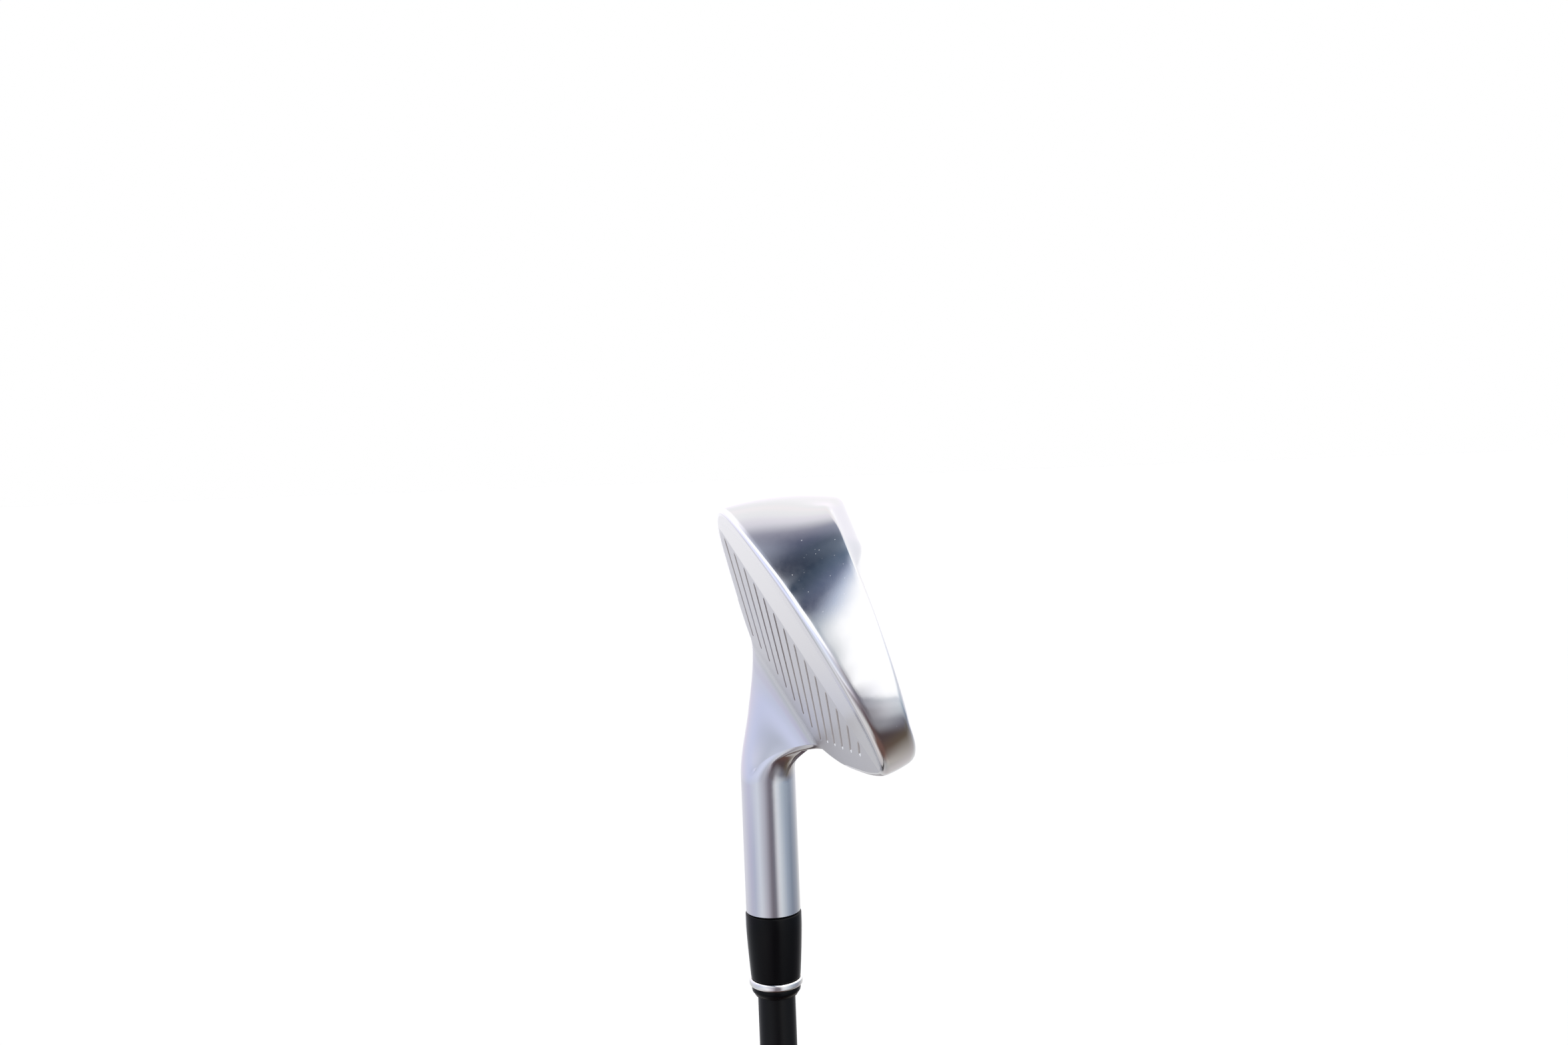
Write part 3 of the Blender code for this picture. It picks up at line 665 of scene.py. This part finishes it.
def turned_mesh(name, profile, steps=128, shape=None):
    """A closed profile of (radius, z) turned about the Z axis. shape is taken off its radius."""
    shell = Shell()
    angles = np.linspace(0, 2 * np.pi, steps, endpoint=False)
    rings = []
    for radius, z in profile:
        if radius == 0:
            rings.append(shell.add([(0, 0, z)]) * steps)
            continue
        around = radius - (shape(radius, z, angles) if shape else 0)
        x, y = around * np.cos(angles), around * np.sin(angles)
        rings.append(shell.add(np.column_stack([x, y, np.full(steps, z)])))
    for ring, next_ring in zip(rings, rings[1:] + rings[:1]):
        shell.bridge(ring, next_ring)
    return shell.mesh(name)


def arc(centre_radius, centre_z, radius, start, end, steps=6):
    """Points of an arc in a profile, its angles in degrees from the outward direction."""
    turn = np.radians(np.linspace(start, end, steps + 1))
    return [(centre_radius + radius * math.cos(a), centre_z + radius * math.sin(a)) for a in turn]


# Materials


class Nodes:
    """Adds shader nodes to one tree."""

    def __init__(self, tree):
        self.tree = tree

    def add(self, kind, *inputs, **settings):
        node = self.tree.nodes.new("ShaderNode" + kind)
        for name, value in settings.items():
            setattr(node, name, value)
        for socket, value in zip(node.inputs, inputs):
            self.feed(socket, value)
        return node

    def feed(self, socket, value):
        if isinstance(value, bpy.types.NodeSocket):
            self.tree.links.new(value, socket)
        elif value is not None:
            socket.default_value = value

    def math(self, operation, *values):
        return self.add("Math", *values, operation=operation).outputs[0]

    def product(self, *values):
        total = values[0]
        for value in values[1:]:
            total = self.math("MULTIPLY", total, value)
        return total

    def dot(self, vector, constant):
        made = self.add("VectorMath", vector, tuple(constant), operation="DOT_PRODUCT")
        return made.outputs["Value"]

    def step(self, value, low, high):
        """0 below low and 1 above high, smooth in between. Low may be the larger of the two."""
        made = self.add("MapRange", value, low, high, 0.0, 1.0, interpolation_type="SMOOTHSTEP")
        return made.outputs[0]

    def spread(self, noise, low, high):
        """Noise, which keeps to the middle of 0 to 1, spread out from low to high."""
        return self.add("MapRange", noise, 0.3, 0.7, low, high).outputs[0]

    def stretch(self, vector, *factors):
        return self.add("VectorMath", vector, factors, operation="MULTIPLY").outputs[0]

    def mix(self, factor, a, b):
        made = self.add("Mix", data_type="RGBA")
        for index, value in ((0, factor), (6, a), (7, b)):
            self.feed(made.inputs[index], value)
        return made.outputs[2]

    def blend(self, factor, a, b):
        made = self.add("Mix")
        for index, value in ((0, factor), (2, a), (3, b)):
            self.feed(made.inputs[index], value)
        return made.outputs[0]

    def noise(self, vector, scale, detail=2.0):
        made = self.add("TexNoise")
        self.feed(made.inputs["Vector"], vector)
        self.feed(made.inputs["Scale"], scale)
        self.feed(made.inputs["Detail"], detail)
        return made.outputs["Fac"]

    def bump(self, height, strength, distance, normal=None):
        made = self.add("Bump")
        for name, value in (("Height", height), ("Strength", strength), ("Distance", distance)):
            self.feed(made.inputs[name], value)
        self.feed(made.inputs["Normal"], normal)
        return made.outputs[0]


def tone(red, green, blue):
    """A colour as a screen shows it, from 0 to 255, made linear."""
    return tuple((v / 255) ** 2.2 for v in (red, green, blue)) + (1.0,)


def new_material(name, colour, roughness, metallic=0.0):
    material = bpy.data.materials.new(name)
    material.use_nodes = True
    shader = material.node_tree.nodes["Principled BSDF"]
    shader.inputs["Base Color"].default_value = (*colour, 1)
    shader.inputs["Roughness"].default_value = roughness
    shader.inputs["Metallic"].default_value = metallic
    nodes = Nodes(material.node_tree)
    place = nodes.add("TexCoord").outputs["Object"]
    return material, shader, nodes, place


def face_coordinates(nodes, place):
    """x, s and depth behind the face of the point that is shaded, in millimetres."""
    origin = face_to_club((0.0, 0.0, 0.0))
    values = []
    for axis in np.eye(3):
        along = (face_to_club(axis) - origin) / MM
        shift = float(along @ origin)
        values.append(nodes.math("SUBTRACT", nodes.dot(place, along), shift))
    return values


def chrome_material():
    """Plated steel: polished on wall and neck, satin on the face, blasted between the grooves. The
    toe's front edge carries a painted highlight, and the upper grooves' heel ends carry painted
    glints.
    """
    material, shader, nodes, place = new_material("head_chrome", (0.7, 0.7, 0.7), 0.15, 1.0)
    x, s, depth = face_coordinates(nodes, place)
    sink = nodes.blend(nodes.step(x, *FACE_SINK_HEEL), 0.0, FACE_SINK)
    behind = nodes.step(nodes.math("SUBTRACT", depth, sink), *FACE_BACK)
    face = nodes.product(nodes.step(depth, *FACE_FRONT), behind, nodes.step(x, *FACE_HEEL))
    blasted = nodes.product(face, nodes.step(x, *BLASTED_TOE))
    buffed = nodes.product(face, past_satin(nodes, x, s))
    # Painted highlight: brighter steel along the rounded front edge at the toe
    edge = nodes.product(
        nodes.step(depth, *PAINTED_HIGHLIGHT_FRONT),
        nodes.step(depth, *PAINTED_HIGHLIGHT_BACK),
        nodes.step(x, *PAINTED_HIGHLIGHT_HEEL),
    )
    across = nodes.product(nodes.step(x, *GROOVED_HEEL), nodes.step(x, *GROOVED_TOE))
    sunk = nodes.product(nodes.step(depth, *GROOVED_FRONT), nodes.step(depth, *GROOVED_BACK))
    groove = nodes.product(sunk, across)
    # Real dust specks on the toe, plus painted glints at the heel ends of the upper grooves
    dust = dust_and_glint_mask(nodes, place, x, s, depth)

    steel = nodes.mix(face, CHROME, SATIN)
    steel = nodes.mix(blasted, steel, BLASTED)
    steel = nodes.mix(buffed, steel, BUFFED)
    # The painted highlight along the toe's front edge
    steel = nodes.mix(edge, steel, PAINTED_HIGHLIGHT)
    steel = nodes.mix(groove, steel, GROOVED)
    # Dust specks and painted glints turn to a matt pale colour
    steel = nodes.mix(dust, steel, DUST_AND_GLINT)
    nodes.feed(shader.inputs["Base Color"], steel)
    nodes.feed(shader.inputs["Metallic"], nodes.blend(dust, 1.0, 0.0))

    smears = nodes.noise(place, 900.0, 4.0)
    rough = nodes.spread(smears, POLISHED_ROUGHNESS - 0.02, POLISHED_ROUGHNESS + 0.02)
    rough = nodes.blend(face, rough, SATIN_ROUGHNESS)
    rough = nodes.blend(blasted, rough, BLASTED_ROUGHNESS)
    rough = nodes.blend(buffed, rough, BUFFED_ROUGHNESS)
    rough = nodes.blend(groove, rough, GROOVED_ROUGHNESS)
    nodes.feed(shader.inputs["Roughness"], rough)
    grain = nodes.noise(place, 4500.0, 3.0)
    normal = nodes.bump(grain, nodes.blend(blasted, 0.03, 0.3), 0.00004)
    nodes.feed(shader.inputs["Normal"], normal)
    return material


def past_satin(nodes, x, s):
    """1 on the buffed strip between the toe's satin and the front edge, x and s in millimetres."""
    total = 0.0
    for value, middle, reach in zip((x, s), SATIN_CENTRE, SATIN_REACH):
        share = nodes.math("DIVIDE", nodes.math("SUBTRACT", value, middle), reach)
        power = nodes.math("POWER", nodes.math("ABSOLUTE", share), SATIN_SHAPE)
        total = nodes.math("ADD", power, total)
    return nodes.product(nodes.step(total, 1.0, 1.2), nodes.step(x, *BUFFED_HEEL))


def dust_and_glint_mask(nodes, place, x, s, depth):
    """Specks of dust on the toe, and painted glints: matt white spots at the heel ends of the upper
    grooves that stand in for their highlights.
    """
    specks = None
    for scale, size in ((700.0, 0.11), (1500.0, 0.16)):
        cells = nodes.add("TexVoronoi", place)
        cells.inputs["Scale"].default_value = scale
        lot = nodes.add("SeparateColor", cells.outputs["Color"]).outputs
        reach = nodes.product(lot[1], size)
        spot = nodes.step(nodes.math("SUBTRACT", cells.outputs["Distance"], reach), 0.02, -0.03)
        spot = nodes.product(spot, nodes.step(lot[0], 0.5, 0.56))
        spot = nodes.product(spot, nodes.math("MULTIPLY_ADD", lot[2], 0.75, 0.15))
        specks = nodes.math("MAXIMUM", specks, spot) if specks else spot
    drift = nodes.step(nodes.noise(place, 75.0, 1.0), 0.4, 0.56)
    on_toe = nodes.product(nodes.step(x, *SPECKS_HEEL), nodes.step(depth, *SPECKS_FRONT))
    specks = nodes.product(specks, on_toe, drift)

    start_s, start_x = (v / MM for v in GROOVE_TOP_HEEL)
    heel = nodes.math("MULTIPLY_ADD", s, GROOVE_TOP_SLOPE, start_x - start_s * GROOVE_TOP_SLOPE)
    past = nodes.math("SUBTRACT", x, heel)
    # Painted glint: a matt white spot at the heel end of each upper groove, in place of its
    # highlight
    painted_glint = nodes.product(
        nodes.step(past, *GLINT_HEEL),
        nodes.step(past, *GLINT_TOE),
        nodes.step(depth, *GLINT_FRONT),
        nodes.step(depth, *GROOVED_BACK),
        nodes.step(s, *GLINT_BOTTOM),
        nodes.step(s, *GLINT_TOP),
    )
    return nodes.math("MAXIMUM", specks, painted_glint)


def plastic_material():
    material, shader, nodes, place = new_material("ferrule_black", (0.002, 0.002, 0.0025), 0.14)
    shader.inputs["Specular IOR Level"].default_value = 0.12
    smear = nodes.noise(place, 380.0, 4.0)
    nodes.feed(shader.inputs["Roughness"], nodes.spread(smear, 0.12, 0.24))
    return material


def ring_material():
    material, shader, nodes, place = new_material("ring_silver", (0.93, 0.92, 0.9), 0.05, 1.0)
    turning = nodes.stretch(place, 40, 40, 9000)
    nodes.feed(shader.inputs["Normal"], nodes.bump(nodes.noise(turning, 1.0), 0.15, 0.00001))
    return material


def lacquer_material():
    """Black lacquer on the wound composite, with a faint orange peel."""
    material, shader, nodes, place = new_material("shaft_black", (0.003, 0.003, 0.0035), 0.28)
    shader.inputs["Specular IOR Level"].default_value = 0.16
    peel = nodes.noise(place, 900.0, 2.0)
    nodes.feed(shader.inputs["Normal"], nodes.bump(peel, 0.06, 0.00005))
    cloud = nodes.noise(place, 120.0, 3.0)
    nodes.feed(shader.inputs["Roughness"], nodes.spread(cloud, 0.24, 0.36))
    return material


def rubber_material(name, grey, rough):
    """Moulded rubber: matt, with a fine pebble and the dust that handling leaves."""
    material, shader, nodes, place = new_material(name, (grey, grey, grey), rough)
    shader.inputs["Specular IOR Level"].default_value = 0.35
    pebble = nodes.noise(place, 2600.0, 3.0)
    nodes.feed(shader.inputs["Normal"], nodes.bump(pebble, 0.35, 0.00012))
    dust = nodes.step(nodes.noise(place, 90.0, 5.0), 0.3, 0.9)
    worn = (grey * 1.5, grey * 1.48, grey * 1.44, 1)
    nodes.feed(shader.inputs["Base Color"], nodes.mix(dust, (grey, grey, grey, 1), worn))
    return material


def tape_material():
    """Creped paper tape: cream, with fine wrinkles across it."""
    material, shader, nodes, place = new_material("tape", (0.72, 0.68, 0.56), 0.85)
    crepe = nodes.noise(nodes.stretch(place, 500, 500, 2400), 1.0, 4.0)
    nodes.feed(shader.inputs["Normal"], nodes.bump(crepe, 0.5, 0.0001))
    cream = nodes.mix(crepe, (0.62, 0.57, 0.45, 1), (0.8, 0.77, 0.66, 1))
    nodes.feed(shader.inputs["Base Color"], cream)
    return material


def epoxy_material():
    """Cured adhesive: amber, with small bubbles."""
    material, shader, nodes, place = new_material("epoxy", (0.5, 0.41, 0.24), 0.3)
    shader.inputs["Subsurface Weight"].default_value = 0.2
    shader.inputs["Subsurface Scale"].default_value = 0.0005
    bubbles = nodes.add("TexVoronoi", place)
    bubbles.inputs["Scale"].default_value = 1500
    pits = nodes.step(bubbles.outputs["Distance"], 0.35, 0.15)
    nodes.feed(shader.inputs["Normal"], nodes.bump(pits, -0.4, 0.00008))
    cloudy = nodes.noise(place, 300.0, 3.0)
    amber = nodes.mix(cloudy, (0.42, 0.33, 0.18, 1), (0.62, 0.53, 0.35, 1))
    nodes.feed(shader.inputs["Base Color"], amber)
    return material


def brass_material():
    """Turned brass, with the lathe's fine rings and a slight tarnish."""
    material, shader, nodes, place = new_material("weight_brass", (0.78, 0.58, 0.27), 0.25, 1.0)
    turning = nodes.stretch(place, 60, 60, 7000)
    nodes.feed(shader.inputs["Normal"], nodes.bump(nodes.noise(turning, 1.0, 3.0), 0.25, 0.00002))
    tarnish = nodes.noise(place, 260.0, 4.0)
    brass = nodes.mix(tarnish, (0.6, 0.42, 0.18, 1), (0.86, 0.67, 0.34, 1))
    nodes.feed(shader.inputs["Base Color"], brass)
    nodes.feed(shader.inputs["Roughness"], nodes.spread(tarnish, 0.36, 0.2))
    return material


# Scene


def add_camera():
    data = bpy.data.cameras.new("camera")
    data.lens = CAMERA_LENS
    data.clip_start = 0.01
    camera = bpy.data.objects.new("camera", data)
    camera.location = CAMERA_PLACE
    camera.rotation_euler = Euler([math.radians(a) for a in CAMERA_TURN], "XYZ")
    bpy.context.scene.collection.objects.link(camera)
    bpy.context.scene.camera = camera


def add_world():
    """A white studio, with soft darker zones round the camera and over and under the head."""
    world = bpy.data.worlds.new("studio")
    bpy.context.scene.world = world
    world.use_nodes = True
    background = world.node_tree.nodes["Background"]
    nodes = Nodes(world.node_tree)
    way = nodes.add("TexCoord").outputs["Generated"]
    parts = nodes.add("SeparateXYZ", way).outputs
    back = nodes.math("MULTIPLY", parts[1], -1.0)
    azimuth = nodes.math("ARCTAN2", parts[0], back)
    turn = nodes.math("MULTIPLY_ADD", azimuth, 0.5 / math.pi, 0.5)
    elevation = nodes.math("MULTIPLY", nodes.math("ARCSINE", parts[2]), 180 / math.pi)
    sky = None
    for height, stops in STUDIO:
        ramp = nodes.add("ValToRGB", turn)
        elements = ramp.color_ramp.elements
        elements.remove(elements[1])
        for index, (degrees, colour) in enumerate(stops):
            at = degrees / 360 + 0.5
            element = elements[0] if index == 0 else elements.new(at)
            element.position = at
            element.color = tone(*colour)
        band = ramp.outputs[0]
        sky = nodes.mix(nodes.step(elevation, below, height), sky, band) if sky else band
        below = height
    path = nodes.add("LightPath").outputs
    seen = nodes.math("MAXIMUM", path["Is Camera Ray"], path["Is Diffuse Ray"])
    bright = nodes.add("VectorMath", sky, (STUDIO_STRENGTH,) * 3, operation="MULTIPLY").outputs[0]
    nodes.feed(background.inputs["Color"], nodes.mix(seen, bright, (1, 1, 1, 1)))
    bpy.context.scene.view_settings.view_transform = "Standard"


def add_floor():
    mesh = bpy.data.meshes.new("floor")
    mesh.from_pydata([(-60, -60, 0), (60, -60, 0), (60, 60, 0), (-60, 60, 0)], [], [(0, 1, 2, 3)])
    mesh.materials.append(new_material("floor", (0.97, 0.97, 0.97), 1.0)[0])
    floor = bpy.data.objects.new("floor", mesh)
    floor.visible_glossy = False
    bpy.context.scene.collection.objects.link(floor)


def add_piece(name, mesh, material, slot, *nodes, sharp=32):
    mesh.materials.append(material)
    mesh.shade_smooth()
    mesh.set_sharp_from_angle(angle=math.radians(sharp))
    piece = bpy.data.objects.new(name, mesh)
    bpy.context.scene.collection.objects.link(piece)
    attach(piece, "root")
    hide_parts(*nodes)
    return piece


def make_head():
    head = add_piece("club_head", head_mesh(), chrome_material(), "head_chrome", "head")
    weighted = head.modifiers.new("Normals", "WEIGHTED_NORMAL")
    weighted.keep_sharp = True


def make_ferrule():
    black = plastic_material()
    bore = TIP_RADIUS + CLEARANCE
    top = CLUB_LENGTH - HOSEL_TOP - CLEARANCE
    bottom = top - FERRULE_LENGTH
    edge = FERRULE_EDGE
    share = np.linspace(0, 1, 14)
    sides = FERRULE_TOP_RADIUS + (FERRULE_BOTTOM_RADIUS - FERRULE_TOP_RADIUS) * share**FERRULE_CURVE
    heights = top - FERRULE_STRAIGHT + (bottom + edge - top + FERRULE_STRAIGHT) * share
    body = arc(FERRULE_TOP_RADIUS - edge, top - edge, edge, 90, 0)
    body += list(zip(sides, heights))
    body += arc(FERRULE_BOTTOM_RADIUS - edge, bottom + edge, edge, 0, -90)[1:]
    body += [(bore, bottom), (bore, top)]
    mesh = turned_mesh("ferrule_sleeve", body)
    add_piece("ferrule_sleeve", mesh, black, "ferrule_black", "ferrule_body")

    ring_top = bottom - CLEARANCE
    ring_bottom = ring_top - RING_LENGTH
    edge = RING_EDGE
    ring = arc(RING_RADIUS - edge, ring_top - edge, edge, 90, 0, 8)
    ring += arc(RING_RADIUS - edge, ring_bottom + edge, edge, 0, -90, 8)
    ring += [(bore, ring_bottom), (bore, ring_top)]
    mesh = turned_mesh("ferrule_band", ring)
    add_piece("ferrule_band", mesh, ring_material(), "ring_silver", "ferrule_ring")

    collar_top = ring_bottom - CLEARANCE
    collar_bottom = collar_top - COLLAR_LENGTH
    edge = COLLAR_EDGE
    middle = collar_top - COLLAR_LENGTH / 2
    collar = arc(COLLAR_RADIUS - edge, collar_top - edge, edge, 90, 0)
    collar += [(COLLAR_RADIUS, middle + 0.2 * MM)]
    collar += [(COLLAR_RADIUS - COLLAR_LINE, middle - 0.15 * MM)]
    collar += arc(COLLAR_BOTTOM_RADIUS - edge / 2, collar_bottom + edge / 2, edge / 2, 20, -90)
    collar += [(bore, collar_bottom), (bore, collar_top)]
    mesh = turned_mesh("ferrule_foot", collar)
    add_piece("ferrule_foot", mesh, black, "ferrule_black", "ferrule_collar")


def make_shaft():
    tip = CLUB_LENGTH - SHAFT_TIP
    tip_taper = CLUB_LENGTH - SHAFT_TIP_TAPER
    edge = TIP_EDGE
    taper = np.linspace(0, 1, 12)
    outer = TIP_RADIUS + (BUTT_RADIUS - TIP_RADIUS) * taper
    heights = tip_taper + (SHAFT_BUTT_TAPER - tip_taper) * taper
    profile = arc(TIP_RADIUS - edge, tip - edge, edge, 90, 0)
    profile += list(zip(outer, heights))
    profile += [
        (BUTT_RADIUS, SHAFT_BUTT),
        (BUTT_BORE, SHAFT_BUTT),
        (BUTT_BORE, SHAFT_BUTT_TAPER),
        (TIP_BORE, tip_taper),
        (TIP_BORE, tip),
    ]
    mesh = turned_mesh("shaft_tube", profile)
    add_piece("shaft_tube", mesh, lacquer_material(), "shaft_black", "shaft")


def grip_cuts(radius, z, angles):
    """Depth of the grip's pattern at one height, round the grip."""
    depth = np.zeros_like(angles)
    if radius < GRIP_MOUTH_RADIUS - 0.5 * MM:
        return depth
    along = smooth_step(z, CUTS_FROM, CUTS_FROM + 3 * MM)
    along = along * (1 - smooth_step(z, CUTS_TO - 3 * MM, CUTS_TO))
    around = angles / (2 * np.pi) * CUTS_AROUND
    for turn in (around + z / CUT_PERIOD, around - z / CUT_PERIOD):
        off = np.abs(turn - np.round(turn))
        depth = np.maximum(depth, 1 - smooth_step(off, 0.35 * CUT_WIDTH, CUT_WIDTH))
    depth = depth * along
    for middle in RING_CUTS:
        ring = 1 - smooth_step(abs(z - middle), 0.2 * RING_CUT_WIDTH, 0.6 * RING_CUT_WIDTH)
        depth = np.maximum(depth, ring)
    return depth * CUT_DEPTH


def make_grip():
    bore = BUTT_RADIUS + 2 * CLEARANCE + TAPE_THICKNESS
    bottom = CAP_THICKNESS + CLEARANCE
    knots = (
        (GRIP_LENGTH - 1.5 * MM, GRIP_LIP),
        (GRIP_LENGTH - 6 * MM, GRIP_LIP),
        (GRIP_LENGTH - 8 * MM, GRIP_MOUTH_RADIUS),
        (GRIP_LENGTH * 0.42, GRIP_MIDDLE_RADIUS),
        (30 * MM, GRIP_BUTT_RADIUS - 0.7 * MM),
        (8 * MM, GRIP_BUTT_RADIUS),
        (bottom, GRIP_BUTT_RADIUS),
    )
    heights, radii = zip(*knots[::-1])
    count = round((heights[-1] - bottom) / GRIP_STEP)
    levels = np.linspace(heights[-1], bottom, count + 1)
    profile = [(bore, GRIP_LENGTH), (GRIP_MOUTH_RADIUS, GRIP_LENGTH)]
    profile += arc(GRIP_LIP - GRIP_LIP_EDGE, GRIP_LENGTH - 1.5 * MM, GRIP_LIP_EDGE, 70, 12, 4)
    profile += list(zip(np.interp(levels, heights, radii), levels))
    profile += [(bore, bottom)]
    mesh = turned_mesh("grip_rubber", profile, 160, grip_cuts)
    rubber = rubber_material("grip_rubber", 0.014, 0.72)
    add_piece("grip_rubber", mesh, rubber, "grip_rubber", "grip_sleeve", sharp=50)

    inner, outer = CAP_GROOVE
    groove = CAP_GROOVE_DEPTH
    cap = [(GRIP_BUTT_RADIUS, CAP_THICKNESS)]
    cap += arc(GRIP_BUTT_RADIUS - CAP_EDGE, CAP_EDGE, CAP_EDGE, 0, -90, 10)
    cap += [(outer, 0), (outer - groove, groove), (inner, groove), (inner - groove, 0)]
    cap += arc(CAP_VENT + CAP_VENT_EDGE, CAP_VENT_EDGE, CAP_VENT_EDGE, 270, 180, 4)
    cap += [(CAP_VENT, CAP_THICKNESS)]
    hard = rubber_material("cap_rubber", 0.012, 0.55)
    add_piece("grip_end", turned_mesh("grip_end", cap), hard, "cap_rubber", "grip_cap")


def finish_inside():
    """Better materials for the pieces inside, which keep their CAD shape."""
    inside = (
        ("hosel_epoxy", epoxy_material()),
        ("tip_weight", brass_material()),
        ("grip_tape", tape_material()),
    )
    for name, material in inside:
        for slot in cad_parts[name].material_slots:
            slot.material = material


add_camera()
add_world()
add_floor()
make_head()
make_ferrule()
make_shaft()
make_grip()
finish_inside()
